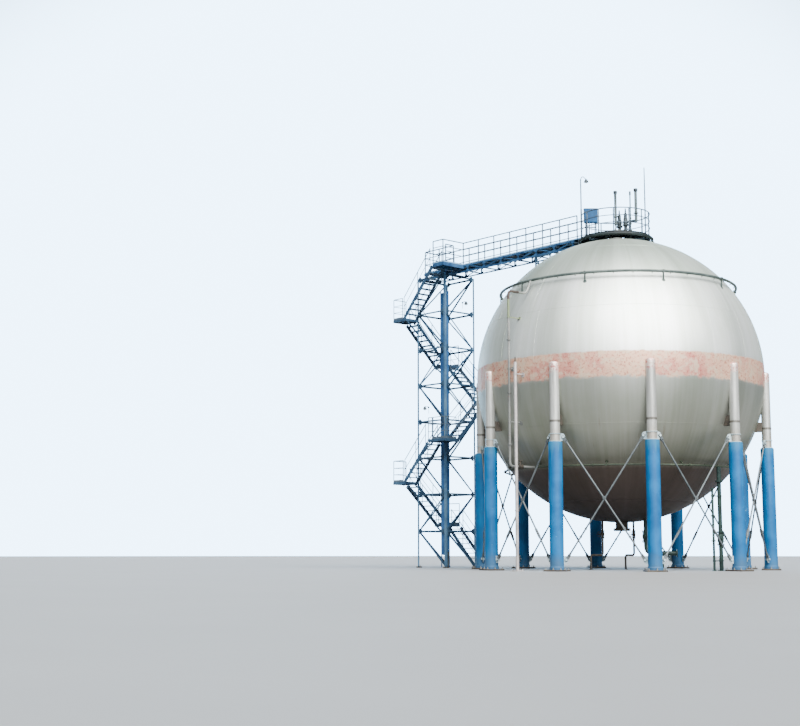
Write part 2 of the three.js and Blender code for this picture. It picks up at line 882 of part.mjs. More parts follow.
const towerLeg = ([x, y]) =>
  bar([x, y, FOOT_T / 2], [x, y, towerTop], LEG).add(
    block(
      x - TOWER_FOOT / 2,
      x + TOWER_FOOT / 2,
      y - TOWER_FOOT / 2,
      y + TOWER_FOOT / 2,
      0,
      FOOT_T,
    ),
  );
const legs = corner.map(towerLeg);
const legRoom = join(
  corner.map(([x, y]) =>
    block(
      x - LEG / 2 - CLEAR,
      x + LEG / 2 + CLEAR,
      y - LEG / 2 - CLEAR,
      y + LEG / 2 + CLEAR,
      0,
      towerTop + CLEAR,
    ),
  ),
);
const plateRoom = join(
  corner.map(([x, y]) => {
    const half = TOWER_FOOT / 2 + CLEAR;
    return block(x - half, x + half, y - half, y + half, 0, FOOT_T + CLEAR);
  }),
);
const [rightFront, rightBack, leftBack, leftFront] = corner;
node(
  "stair_tower_front",
  join([legs[0], legs[3], ...towerBars(leftFront, rightFront, false)]),
  TOWER,
);
node(
  "stair_tower_back",
  join([legs[1], legs[2], ...towerBars(rightBack, leftBack, true)]),
  TOWER,
);
for (const [name, a, b, rises] of [
  ["stair_tower_tank_side", rightFront, rightBack, false],
  ["stair_tower_outer_side", leftBack, leftFront, true],
])
  node(
    name,
    join(towerBars(a, b, rises)).subtract(legRoom).subtract(plateRoom),
    TOWER,
  );

// Cable tray beside the near leg, on the inner side of the level bars.
const trayX = rightFront[0] - LEVEL_BAR / 2 - CLEAR;
const trayY = rightFront[1] + LEG / 2 + CLEAR;
node(
  "tower_cable_tray",
  block(trayX - TRAY_T, trayX, trayY, trayY + TRAY_W, FOOT_T + CLEAR, TRAY_TOP),
  TOWER,
);

// A point beside the tower. Side 0 is the front; s runs down along a side
// from its middle, w is the distance out from the tower's middle.
const DOWN = [
  [-1, 0],
  [0, 1],
  [1, 0],
  [0, -1],
];
function byTower(side, s, w, z) {
  const [x, y] = DOWN[side];
  return [towerX + x * s - y * w, towerY + y * s + x * w, z];
}

const stairRail = (side, line, z) =>
  railing(
    line.map(([s, w]) => byTower(side, s, w).slice(0, 2)),
    z - 20,
    900,
    [RAIL_TOP],
  );

// A landing at the corner below a flight, with rails on its outer sides and
// a knee under it.
function landing(side, foot, z) {
  const edge = LANDING_OUT - RAIL_EDGE;
  const plate = between(
    byTower(side, LANDING_FROM, LANDING_IN, z - LANDING_T),
    byTower(side, LANDING_OUT, LANDING_OUT, z),
  );
  const line = [
    [edge, LANDING_IN + RAIL_EDGE],
    [edge, edge],
    [foot + RAIL_EDGE, edge],
  ];
  const knee = bar(
    byTower(side, TOWER_HALF, TOWER_HALF, z - 750),
    byTower(side, TOWER_HALF, STAIR_OUT - 100, z - 100),
    SLANT_BAR,
  );
  return join([plate, stairRail(side, line, z), knee.subtract(legRoom)]);
}

// A flight: two stringers, treads between them, and handrails.
function stairs(side, head, foot, zTop, zLow) {
  const run = foot - head;
  const count = Math.round((zTop - zLow) / RISE);
  const rise = (zTop - zLow) / count;
  const going = run / count;
  const slope = rise / going;
  const on = (s, w, up) => byTower(side, head + s, w, zTop - s * slope + up);
  const first = going;
  const last = run - going / 2;
  const list = [];
  for (const w of [STAIR_IN, STAIR_OUT]) {
    list.push(
      bar(
        on(-60, w, -LANDING_T),
        on(run + 60, w, -LANDING_T),
        STRINGER_T,
        STRINGER_H,
      ),
      bar(on(first - 15, w, HAND_TOP), on(last + 15, w, HAND_TOP), RAIL),
    );
    for (const s of [first, last])
      list.push(
        bar(on(s, w, -LANDING_T), on(s, w, HAND_TOP + 10), HAND_POST),
      );
  }
  for (let i = 1; i < count; i += 1) {
    const s = head + (i - 0.5) * going;
    const z = zTop - i * rise - TREAD_T / 2;
    const end = (w) => byTower(side, s, w, z);
    list.push(bar(end(STAIR_IN), end(STAIR_OUT), TREAD_W, TREAD_T));
  }
  const room = between(
    byTower(side, head, STAIR_IN - 200, Math.max(0, zLow - UNDER)),
    byTower(side, foot + 400, STAIR_OUT + 200, zTop + 2000),
  );
  return join(list).intersect(room);
}

// A level plate from the landing above to a flight that starts past it.
function bridging(side, head, z) {
  const edge = STAIR_OUT;
  const plate = between(
    byTower(side, -LANDING_IN, STAIR_IN - STRINGER_T / 2, z - LANDING_T),
    byTower(side, head + 50, STAIR_OUT + STRINGER_T / 2, z),
  );
  const line = [
    [RAIL_EDGE - LANDING_IN, edge],
    [head, edge],
  ];
  return plate.add(stairRail(side, line, z));
}

FLIGHTS.forEach(([side, head, foot, zTop, zLow], i) => {
  const list = [stairs(side, head, foot, zTop, zLow)];
  if (zLow > 0) list.push(landing(side, foot, zLow));
  if (head > -LANDING_IN) list.push(bridging(side, head, zTop));
  const name = "stair_flight_" + (i + 1);
  node(name, join(list).subtract(plateRoom), TOWER);
});

export default group;
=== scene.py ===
"""Looks of a spherical gas tank on ten columns, with its platform, bridge and stair tower."""
import math

import bmesh
import bpy
from mathutils import Matrix, Vector


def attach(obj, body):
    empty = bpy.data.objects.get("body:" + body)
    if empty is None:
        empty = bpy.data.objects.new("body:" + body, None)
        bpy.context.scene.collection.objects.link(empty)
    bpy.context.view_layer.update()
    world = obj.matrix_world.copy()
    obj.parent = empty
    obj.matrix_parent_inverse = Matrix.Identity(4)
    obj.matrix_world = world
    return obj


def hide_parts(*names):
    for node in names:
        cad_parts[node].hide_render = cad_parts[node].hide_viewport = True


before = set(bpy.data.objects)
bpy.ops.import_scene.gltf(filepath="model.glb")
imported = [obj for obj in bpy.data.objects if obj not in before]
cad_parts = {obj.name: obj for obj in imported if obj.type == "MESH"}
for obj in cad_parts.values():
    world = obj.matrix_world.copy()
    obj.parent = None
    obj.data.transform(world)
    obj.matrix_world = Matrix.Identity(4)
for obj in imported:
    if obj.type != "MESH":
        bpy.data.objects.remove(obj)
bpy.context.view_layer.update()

ALONG, ACROSS, UP = Vector((1, 0, 0)), Vector((0, 1, 0)), Vector((0, 0, 1))
TANK = Vector((2.844, 0.187, 8.2))
SHELL_R = 6.19
SHELL_WALL = 0.045
TOWER = Vector((TANK.x - 10.42, TANK.y - 0.6, 0))
DECK_Z = 14.63
PLATFORM_Z = 14.57


# Placing

def turn(deg):
    """The level direction at an angle from ALONG."""
    return Vector((math.cos(math.radians(deg)), math.sin(math.radians(deg)), 0))


def around(radius, deg, z=0.0):
    """A point by radius, direction and height about the tank's axis."""
    p = TANK + radius * turn(deg)
    return Vector((p.x, p.y, z))


def beside(x, y, z=0.0):
    """A point by its distances from the tank's axis."""
    return Vector((TANK.x + x, TANK.y + y, z))


def by_tower(x, y, z=0.0):
    """A point by its distances from the stair tower's axis."""
    return Vector((TOWER.x + x, TOWER.y + y, z))


def lift(p, z):
    """The point above or below p at the height z."""
    return Vector((p[0], p[1], z))


def frame_along(a, b, up=UP):
    """The matrix with Z from a to b, Y on the up side, at their middle, and the length."""
    a, b = Vector(a), Vector(b)
    z = (b - a).normalized()
    ref = Vector(up) if abs(z.dot(up)) < 0.98 else ALONG
    x = ref.cross(z).normalized()
    m = Matrix((x, z.cross(x), z)).transposed().to_4x4()
    m.translation = (a + b) / 2
    return m, (b - a).length


# Shapes, each added to a bmesh

def tube(bm, a, b, r, sides, end=None):
    """A round bar from a to b, or a cone where its end has another radius."""
    m, long = frame_along(a, b)
    bmesh.ops.create_cone(bm, cap_ends=True, segments=sides, radius1=r,
                          radius2=r if end is None else end, depth=long, matrix=m)


def upright(bm, p, low, high, r, sides):
    """A round bar that stands at p between two heights."""
    tube(bm, lift(p, low), lift(p, high), r, sides)


def beam(bm, a, b, wide, tall=None, up=UP):
    """A flat or square bar from a to b, tall towards up."""
    m, long = frame_along(a, b, up)
    size = Matrix.Diagonal((wide, tall or wide, long, 1))
    bmesh.ops.create_cube(bm, size=1, matrix=m @ size)


def slab(bm, low, high):
    """A level box between two corners."""
    low, high = Vector(low), Vector(high)
    m = Matrix.Translation((low + high) / 2) @ Matrix.Diagonal((*(high - low), 1))
    bmesh.ops.create_cube(bm, size=1, matrix=m)


def section(bm, a, b, outline, u, v):
    """A bar of the section outline, in the directions u and v, from a to b."""
    a, b, u, v = Vector(a), Vector(b), Vector(u), Vector(v)
    face = bm.faces.new([bm.verts.new(a + u * p + v * q) for p, q in outline])
    made = bmesh.ops.extrude_face_region(bm, geom=[face])["geom"]
    new = [g for g in made if isinstance(g, bmesh.types.BMVert)]
    bmesh.ops.translate(bm, verts=new, vec=b - a)


def angle(bm, a, b, u, v, leg, thick):
    """An angle bar with its heel on the line from a to b."""
    t = thick
    section(bm, a, b, [(0, 0), (leg, 0), (leg, t), (t, t), (t, leg), (0, leg)], u, v)


def channel(bm, a, b, u, v, high, flange, thick):
    """A channel with its web on the line from a to b, high along v, flanges along u."""
    h, f, t = high / 2, flange, thick
    section(bm, a, b, [(0, -h), (f, -h), (f, t - h), (t, t - h),
                       (t, h - t), (f, h - t), (f, h), (0, h)], u, v)


def full_turn(bm, geom, centre, axis, steps):
    """Spins a ring or an outline once round its axis and closes it."""
    bmesh.ops.spin(bm, geom=geom, cent=centre, axis=axis, dvec=(0, 0, 0), angle=2 * math.pi,
                   steps=steps, use_merge=True, use_duplicate=False)


def spun(bm, outline, centre, steps):
    """A closed shape turned from (radius, height) points about the upright through the centre."""
    pts = [bm.verts.new(centre + ALONG * r + UP * z) for r, z in outline]
    edges = [bm.edges.new((p, q)) for p, q in zip(pts, pts[1:])]
    if outline[0][0] > 0:
        edges.append(bm.edges.new((pts[-1], pts[0])))
    full_turn(bm, pts + edges, centre, UP, steps)


def ring_of(bm, sides, r, matrix, filled=False):
    """The corners and edges of a pipe's round section."""
    made = bmesh.ops.create_circle(bm, cap_ends=filled, segments=sides, radius=r, matrix=matrix)
    return made["verts"], list({e for v in made["verts"] for e in v.link_edges})


def hoop(bm, radius, z, r, sides, steps):
    """A ring pipe about the tank's axis."""
    m = Matrix.Translation(beside(radius, 0, z)) @ Matrix.Rotation(math.pi / 2, 4, "X")
    verts, edges = ring_of(bm, sides, r, m)
    full_turn(bm, verts + edges, lift(TANK, z), UP, steps)


def bead(bm, start, centre, axis, sweep, r):
    """A flattened weld bead along an arc, half sunk in the plate."""
    axis = axis.normalized()
    out = (start - centre).normalized()
    m = Matrix((axis, out, axis.cross(out))).transposed().to_4x4()
    m.translation = start
    wide, high = 1.3, 0.45
    edges = ring_of(bm, 6, r, m @ Matrix.Diagonal((wide, high, 1, 1)))[1]
    bmesh.ops.edgeloop_fill(bm, edges=edges)
    made = bmesh.ops.spin(bm, geom=edges, cent=centre, axis=axis, dvec=(0, 0, 0),
                          angle=math.radians(sweep), steps=14, use_merge=False,
                          use_duplicate=False)["geom_last"]
    bmesh.ops.edgeloop_fill(bm, edges=[g for g in made if isinstance(g, bmesh.types.BMEdge)])


def rounded(pts, bend):
    """The centre line through the points with its corners rounded."""
    steps = 5
    line = [pts[0]]
    for before, p, after in zip(pts, pts[1:], pts[2:]):
        to, away = (p - before), (after - p)
        cut = min(bend, to.length / 2.01, away.length / 2.01)
        a, b = p - to.normalized() * cut, p + away.normalized() * cut
        for i in range(steps + 1):
            t = i / steps
            line.append(a * (1 - t) ** 2 + p * 2 * t * (1 - t) + b * t ** 2)
    line.append(pts[-1])
    return line


def swept(bm, points, r, sides, bend=0.0):
    """A pipe along the points, with round corners of the given bend."""
    line = rounded(points, bend) if bend else points
    ways = [(q - p).normalized() for p, q in zip(line, line[1:])]
    m = frame_along(line[0], line[0] + ways[0])[0]
    m.translation = line[0]
    loop, edges = ring_of(bm, sides, r, m, filled=True)
    for i in range(1, len(line)):
        made = bmesh.ops.extrude_edge_only(bm, edges=edges)["geom"]
        loop = [g for g in made if isinstance(g, bmesh.types.BMVert)]
        edges = [e for e in made if isinstance(e, bmesh.types.BMEdge)
                 and e.verts[0] in loop and e.verts[1] in loop]
        bmesh.ops.translate(bm, verts=loop, vec=line[i] - line[i - 1])
        if i < len(ways):
            spin = ways[i - 1].rotation_difference(ways[i]).to_matrix()
            bmesh.ops.rotate(bm, verts=loop, cent=line[i], matrix=spin)
    bmesh.ops.edgeloop_fill(bm, edges=edges)


def across_from(centre, axis):
    """The two directions square to an axis."""
    turned = frame_along(centre, centre + axis)[0].to_3x3()
    return turned.col[0], turned.col[1]


def bolts(bm, centre, axis, radius, count, size, high):
    """Hexagon heads on a circle about an axis."""
    x, y = across_from(centre, axis)
    for i in range(count):
        a = math.radians(360 * i / count)
        p = centre + (x * math.cos(a) + y * math.sin(a)) * radius
        tube(bm, p, p + axis * high, size, 6)


def flanges(bm, centre, axis, r, thick, gap, count, size):
    """A pair of bolted pipe flanges about the centre."""
    for s in (-1, 1):
        a = centre + axis * s * gap / 2
        tube(bm, a, a + axis * s * thick, r, 28)
        bolts(bm, a + axis * s * thick, axis * s, r * 0.82, count, size, size)


def wheel(bm, centre, axis, radius, r=0.012):
    """A hand wheel with four spokes and a hub."""
    x, y = across_from(centre, axis)
    at = Matrix((x, axis, y)).transposed().to_4x4()
    at.translation = centre + x * radius
    verts, edges = ring_of(bm, 8, r, at)
    full_turn(bm, verts + edges, centre, axis, 28)
    spokes = 4
    for i in range(spokes):
        a = math.pi * 2 * i / spokes
        tube(bm, centre, centre + (x * math.cos(a) + y * math.sin(a)) * radius, r * 0.8, 6)
    tube(bm, centre - axis * r * 2, centre + axis * r * 2, r * 2.4, 10)


# Materials

def linear(r, g, b):
    """Screen colour from 0 to 255 as scene colour."""
    def one(c):
        c /= 255
        return c / 12.92 if c <= 0.04045 else ((c + 0.055) / 1.055) ** 2.4
    return (one(r), one(g), one(b), 1.0)


WHITE = (1.0, 1.0, 1.0, 1)
RUST = linear(112, 74, 50)
SHELL_METALLIC = 0.92
TUBE_JOINT_Z = 5.93
# The silver paint's colour on screen at heights above the floor: it darkens towards the bottom,
# partly dirt and partly painted shade of the underside, and is near white all round between 8.8
# and 11.95 as a painted highlight
SHELL_PAINT_SHADE_AND_HIGHLIGHT = (
    (2.0, (84, 74, 74)), (4.08, (98, 86, 82)), (4.28, (122, 120, 110)), (5.6, (164, 164, 155)),
    (7.5, (166, 168, 163)), (8.8, (246, 248, 246)), (11.95, (242, 245, 242)),
    (12.15, (204, 211, 204)), (14.2, (200, 209, 200)))


class Finish:
    """A node material with short calls for the steps of its colour, gloss and bump."""

    def __init__(self, name, metallic=0.0, centre=(0, 0, 0)):
        self.mat = bpy.data.materials.new(name)
        self.mat.use_nodes = True
        self.tree = self.mat.node_tree
        self.shader = self.tree.nodes["Principled BSDF"]
        self.shader.inputs["Metallic"].default_value = metallic
        coord = self.tree.nodes.new("ShaderNodeTexCoord")
        place = self.add("ShaderNodeMapping", Vector=coord.outputs["Object"])
        place.inputs["Location"].default_value = [-c for c in centre]
        self.place = place.outputs["Vector"]

    def add(self, kind, **inputs):
        """A node with its sockets set or linked, by name or, after an underscore, by number."""
        node = self.tree.nodes.new(kind)
        for key, value in inputs.items():
            socket = node.inputs[int(key[1:]) if key[0] == "_" else key]
            if isinstance(value, bpy.types.NodeSocket):
                self.tree.links.new(value, socket)
            else:
                socket.default_value = value
        return node

    def sum(self, kind, a, b=0.5):
        node = self.add("ShaderNodeMath", _0=a, _1=b)
        node.operation = kind
        return node.outputs[0]

    def part(self, amount, value):
        return self.sum("MULTIPLY", value, amount)

    def ragged(self, value, pattern, reach):
        """A value that a pattern moves up and down by half the reach, for an uneven edge."""
        return self.sum("ADD", value, self.part(reach, self.sum("SUBTRACT", pattern, 0.5)))

    def without(self, value):
        return self.sum("SUBTRACT", 1.0, value)

    def noise(self, scale, detail=3.0, rough=0.55, vector=None, warp=0.0):
        return self.add("ShaderNodeTexNoise", Vector=vector or self.place, Scale=scale,
                        Detail=detail, Roughness=rough, Distortion=warp).outputs[0]

    def stretched(self, size):
        """Coordinates for a pattern drawn out along an axis."""
        node = self.add("ShaderNodeVectorMath", _0=self.place, _1=size)
        node.operation = "MULTIPLY"
        return node.outputs[0]

    def ramp(self, value, stops):
        """Colour stops along a value."""
        node = self.add("ShaderNodeValToRGB", Fac=value)
        band = node.color_ramp
        while len(band.elements) < len(stops):
            band.elements.new(0.5)
        for mark, (at, colour) in zip(band.elements, stops):
            mark.position, mark.color = at, colour
        return node.outputs[0]

    def steps(self, value, low, high):
        """0 below low, 1 above high."""
        node = self.add("ShaderNodeMapRange", Value=value, _1=low, _2=high)
        node.interpolation_type = "SMOOTHSTEP"
        return node.outputs[0]

    def mix(self, how_much, a, b, mode="MIX"):
        """Colour a with colour b over it."""
        node = self.tree.nodes.new("ShaderNodeMix")
        node.data_type, node.blend_type = "RGBA", mode
        for index, value in ((0, how_much), (6, a), (7, b)):
            if isinstance(value, bpy.types.NodeSocket):
                self.tree.links.new(value, node.inputs[index])
            else:
                node.inputs[index].default_value = value
        return node.outputs[2]

    def shade(self, colour, how_much, dark):
        """The colour multiplied by a dark tint where the value is low."""
        tint = self.mix(how_much, dark, WHITE)
        return self.mix(1.0, colour, tint, "MULTIPLY")

    def parts(self):
        """The three distances from the finish's centre."""
        return self.add("ShaderNodeSeparateXYZ", Vector=self.place).outputs

    def done(self, colour, rough, bump=None, depth=0.002, strength=0.5):
        """Links colour, roughness and bump to the shader and gives the material."""
        links = self.tree.links
        links.new(colour, self.shader.inputs["Base Color"])
        if isinstance(rough, bpy.types.NodeSocket):
            links.new(rough, self.shader.inputs["Roughness"])
        else:
            self.shader.inputs["Roughness"].default_value = rough
        if bump is not None:
            node = self.add("ShaderNodeBump", Height=bump, Strength=strength, Distance=depth)
            links.new(node.outputs[0], self.shader.inputs["Normal"])
        return self.mat


def shell_finish(name, belt):
    """Silver paint by height: darker towards the bottom with dirt and painted shade, near white
    above the belt as a painted highlight, with water streaks; the belt has the worn red band.
    """
    f = Finish(name, SHELL_METALLIC, TANK)
    x, y, z = f.parts()
    across = f.sum("SQRT", f.sum("ADD", f.sum("MULTIPLY", x, x), f.sum("MULTIPLY", y, y)))
    round_xy = [f.sum("DIVIDE", c, f.sum("MAXIMUM", across, 0.05)) for c in (x, y)]

    def streak(spread, drop):
        """Coordinates that run round the tank and barely change with height."""
        node = f.add("ShaderNodeCombineXYZ", X=f.part(spread, round_xy[0]),
                     Y=f.part(spread, round_xy[1]), Z=f.part(drop, z))
        return node.outputs[0]

    def mark(height):
        """The ramp's place of a height above the floor."""
        return (height - TANK.z) / (2 * SHELL_R) + 0.5

    broad = f.noise(1.0, 2.0, 0.5, streak(3.2, 0.10))
    fine = f.noise(1.0, 4.0, 0.6, streak(26.0, 0.22))
    cloud = f.noise(0.55, 3.0, 0.6)
    at = f.sum("ADD", f.sum("DIVIDE", f.ragged(z, fine, 0.14), 2 * SHELL_R), 0.5)
    # The height ramp paints shade towards the bottom and a highlight band above the belt
    col = f.ramp(at, [(mark(height), linear(*colour)) for height, colour in SHELL_PAINT_SHADE_AND_HIGHLIGHT])
    col = f.shade(col, f.steps(broad, 0.36, 0.66), (0.80, 0.81, 0.78, 1))
    col = f.shade(col, f.steps(fine, 0.3, 0.72), (0.88, 0.89, 0.85, 1))
    col = f.shade(col, f.steps(cloud, 0.3, 0.7), (0.91, 0.94, 0.90, 1))
    rust = f.sum("MULTIPLY", f.steps(f.noise(1.0, 5.0, 0.7, streak(30.0, 0.5)), 0.62, 0.72),
                 f.without(f.steps(z, -3.6, 1.5)))
    col = f.mix(f.part(0.35, rust), col, linear(98, 72, 52))
    if belt:
        edge = f.noise(2.6, 5.0, 0.62)
        low = f.steps(f.ragged(z, edge, 0.45), -0.63, -0.51)
        top = f.steps(f.ragged(z, edge, 0.14), 0.40, 0.47)
        inside = f.sum("MULTIPLY", low, f.without(top))
        patch = f.steps(f.noise(0.55, 3.0, 0.6, warp=0.4), 0.36, 0.62)
        red = f.mix(patch, linear(188, 126, 114), linear(206, 168, 142))
        speck = f.steps(f.noise(10.0, 6.0, 0.80), 0.51, 0.59)
        red = f.mix(f.part(0.75, speck), red, linear(150, 72, 62))
        bare = f.steps(f.noise(3.4, 6.0, 0.76), 0.49, 0.58)
        red = f.mix(f.part(0.70, bare), red, linear(196, 180, 156))
        col = f.mix(inside, col, red)
        metal = f.sum("SUBTRACT", SHELL_METALLIC, f.part(0.40, inside))
        f.tree.links.new(metal, f.shader.inputs["Metallic"])
    rough = f.sum("ADD", 0.43, f.part(0.14, broad))
    return f.done(col, rough, f.noise(0.9, 3.0, 0.5), 0.012, 0.25)


def weathered(name, paint, faded, wear, metallic, rough, grain=6.0, rust=RUST):
    """Oil paint on steel: faded clouds, fine grime, and rust in spots and runs."""
    paint, faded = linear(*paint), linear(*faded)
    f = Finish(name, metallic)
    f.shader.inputs["Specular IOR Level"].default_value = 0.28
    cloud = f.noise(grain * 0.22, 4.0, 0.6)
    grime = f.noise(grain * 2.6, 5.0, 0.65)
    run = f.noise(1.0, 5.0, 0.65, f.stretched((grain * 2.0, grain * 2.0, grain * 0.16)))
    col = f.mix(f.steps(cloud, 0.34, 0.68), paint, faded)
    col = f.mix(f.part(0.5, f.steps(run, 0.48, 0.72)), col, faded)
    col = f.shade(col, f.steps(grime, 0.3, 0.6), (0.82, 0.81, 0.80, 1))
    spot = f.steps(f.sum("ADD", f.part(0.45, grime), f.part(0.6, run)),
                   0.66 - 0.12 * wear, 0.78 - 0.12 * wear)
    col = f.mix(f.part(min(1.0, wear * 1.6), spot), col, rust)
    return f.done(col, f.sum("ADD", rough, f.part(0.22, grime)), grime, 0.0015, 0.4)


def sleeve_finish():
    """Blue paint on the fireproof sleeves, with pale runs and chips."""
    f = Finish("sleeve_blue")
    f.shader.inputs["Specular IOR Level"].default_value = 0.2
    z = f.parts()[2]
    cloud = f.noise(1.1, 4.0, 0.6)
    run = f.noise(1.0, 5.0, 0.65, f.stretched((9.0, 9.0, 0.5)))
    spot = f.noise(14.0, 5.0, 0.7)
    col = f.mix(f.steps(cloud, 0.35, 0.7), linear(0, 70, 116), linear(0, 88, 138))
    col = f.mix(f.part(0.35, f.steps(run, 0.54, 0.76)), col, linear(34, 110, 150))
    col = f.mix(f.part(0.30, f.steps(spot, 0.60, 0.74)), col, linear(4, 44, 80))
    chip = f.steps(f.noise(3.2, 6.0, 0.8), 0.66, 0.72)
    col = f.mix(f.part(0.7, chip), col, linear(140, 190, 206))
    faded_top = f.steps(f.ragged(z, run, 1.2), 4.60, 5.05)
    col = f.mix(f.part(0.35, faded_top), col, linear(50, 112, 132))
    splashed_foot = f.without(f.steps(f.ragged(z, cloud, 1.6), 0.1, 1.0))
    col = f.mix(f.part(0.45, splashed_foot), col, linear(70, 92, 104))
    return f.done(col, f.sum("ADD", 0.42, f.part(0.2, cloud)), f.noise(7.0, 4.0, 0.6), 0.006, 0.5)


def tube_finish():
    """Silver paint on the upper tubes; the red band runs over their tops."""
    f = Finish("column_silver", 0.6)
    z = f.parts()[2]
    run = f.noise(1.0, 5.0, 0.65, f.stretched((10.0, 10.0, 0.6)))
    grime = f.noise(6.0, 5.0, 0.65)
    col = f.mix(f.steps(run, 0.34, 0.68), linear(160, 161, 156), linear(198, 199, 194))
    col = f.mix(f.part(0.5, f.steps(grime, 0.56, 0.74)), col, linear(136, 122, 104))
    soil = f.steps(f.ragged(z, grime, 0.9), 5.9, 5.2)
    col = f.mix(f.part(0.5, soil), col, linear(150, 138, 120))
    from_joint = f.sum("ABSOLUTE", f.sum("SUBTRACT", z, TUBE_JOINT_Z))
    joint = f.without(f.steps(from_joint, 0.03, 0.07))
    col = f.mix(f.part(0.7, joint), col, linear(92, 84, 74))
    band = f.steps(f.ragged(z, grime, 0.5), 7.80, 8.04)
    worn = f.steps(f.noise(9.0, 5.0, 0.75), 0.38, 0.52)
    col = f.mix(band, col, f.mix(worn, linear(182, 96, 90), linear(216, 202, 192)))
    return f.done(col, f.sum("ADD", 0.34, f.part(0.2, grime)), grime, 0.002, 0.4)


def riser_finish():
    """Silver-grey paint, light green between the upper stay and the elbow."""
    f = Finish("riser_grey", 0.3)
    z = f.parts()[2]
    grime = f.noise(12.0, 5.0, 0.65)
    col = f.mix(f.steps(f.noise(2.0, 4.0), 0.35, 0.65), linear(98, 100, 97),
                linear(124, 126, 122))
    green = f.sum("MULTIPLY", f.steps(z, 10.28, 10.36), f.without(f.steps(z, 11.36, 11.44)))
    col = f.mix(green, col, linear(106, 118, 86))
    col = f.mix(f.part(0.6, f.steps(grime, 0.55, 0.72)), col, RUST)
    return f.done(col, f.sum("ADD", 0.4, f.part(0.2, grime)), grime, 0.0015, 0.4)


def chequer_finish(name, paint, faded):
    """Chequer plate: raised dashes in two directions."""
    f = Finish(name, 0.1)
    x, y = f.parts()[:2]
    wave = [f.sum("SINE", f.part(120.0, f.sum(kind, x, y))) for kind in ("ADD", "SUBTRACT")]
    dash = f.steps(f.sum("MULTIPLY", *wave), 0.35, 0.7)
    cloud = f.noise(1.4, 5.0, 0.6)
    grime = f.noise(16.0, 5.0, 0.65)
    col = f.mix(f.steps(cloud, 0.35, 0.7), linear(*paint), linear(*faded))
    col = f.mix(f.part(0.55, f.steps(grime, 0.55, 0.7)), col, RUST)
    col = f.mix(f.part(0.25, dash), col, linear(150, 158, 160))
    return f.done(col, f.sum("ADD", 0.42, f.part(0.25, grime)), dash, 0.003, 0.6)


def glass_finish():
    """Cloudy lamp glass that lets some light through."""
    f = Finish("lamp_glass")
    f.shader.inputs["Transmission Weight"].default_value = 0.4
    return f.done(f.mix(f.noise(30.0), linear(206, 214, 214), linear(232, 236, 232)), 0.2)


SHELL = shell_finish("shell_silver", False)
BELT = shell_finish("shell_belt", True)
SLEEVE = sleeve_finish()
TUBE = tube_finish()
RISER = riser_finish()
GLASS = glass_finish()
DECK = chequer_finish("deck_plate", (40, 62, 84), (74, 98, 118))
TREAD = chequer_finish("tread_plate", (46, 72, 98), (84, 110, 132))

# Paint and faded paint, then wear, metallic, roughness and grain
ROD = weathered("rod_grey", (70, 77, 80), (102, 109, 111), 0.30, 0.3, 0.4)
ZINC = weathered("bolt_zinc", (150, 152, 150), (120, 120, 116), 0.35, 0.7, 0.38, 20.0)
IRON = weathered("iron_dark", (52, 48, 44), (78, 72, 64), 0.45, 0.2, 0.5, 9.0)
DARK_GREEN = weathered("pipe_green", (26, 44, 42), (50, 72, 66), 0.25, 0.0, 0.42, 8.0)
# Dark green paint darkened almost to black as painted shade of the deck's shadow on the rim and
# the pipe under it
RIM_GREEN_AND_SHADE = weathered("rim_green_and_shade", (12, 20, 22), (28, 40, 42), 0.1, 0.0, 0.45, 8.0)
RING_GREEN = weathered("ring_green", (62, 72, 70), (92, 102, 98), 0.25, 0.2, 0.4, 9.0)
LOW_RING = weathered("ring_low", (38, 46, 36), (60, 68, 54), 0.25, 0.15, 0.4, 9.0)
RUSTY = weathered("elbow_rusty", (48, 40, 36), (68, 58, 52), 0.1, 0.1, 0.5, 9.0)
POLE = weathered("pole_pale", (146, 142, 139), (180, 174, 171), 0.20, 0.35, 0.38, 9.0)
LEG_BLUE = weathered("tower_blue", (48, 82, 112), (84, 116, 140), 0.30, 0.1, 0.45, 5.0)
BAR_BLUE = weathered("bar_blue", (24, 50, 74), (52, 80, 102), 0.30, 0.1, 0.45, 5.0)
TRAY_BLUE = weathered("tray_blue", (26, 64, 108), (50, 94, 140), 0.20, 0.1, 0.42, 5.0)
STAIR_BLUE = weathered("stair_blue", (28, 54, 80), (58, 88, 112), 0.32, 0.1, 0.45)
RAIL_GREY = weathered("rail_grey", (54, 68, 82), (86, 100, 112), 0.22, 0.1, 0.42, 8.0)
TRUSS_BLUE = weathered("truss_blue", (18, 52, 88), (52, 92, 130), 0.28, 0.1, 0.45)
EDGE_BLUE = weathered("edge_blue", (96, 144, 188), (140, 176, 206), 0.25, 0.0, 0.45)
BOX_BLUE = weathered("box_blue", (0, 60, 100), (2, 80, 126), 0.18, 0.0, 0.5, 7.0)
CABLE = weathered("cable_black", (40, 46, 52), (66, 72, 76), 0.2, 0.0, 0.55, 12.0,
                  linear(90, 90, 84))
FLANGE = weathered("flange_grey", (112, 116, 112), (150, 152, 146), 0.35, 0.3, 0.42, 12.0)
VALVE_GREY = weathered("valve_grey", (38, 46, 50), (64, 74, 78), 0.3, 0.2, 0.42, 12.0)
VENT_GREEN = weathered("vent_green", (58, 70, 72), (88, 100, 100), 0.25, 0.2, 0.4, 9.0)
EAR_PALE = weathered("ear_pale", (146, 168, 176), (184, 200, 202), 0.2, 0.1, 0.42, 9.0)


# Pieces

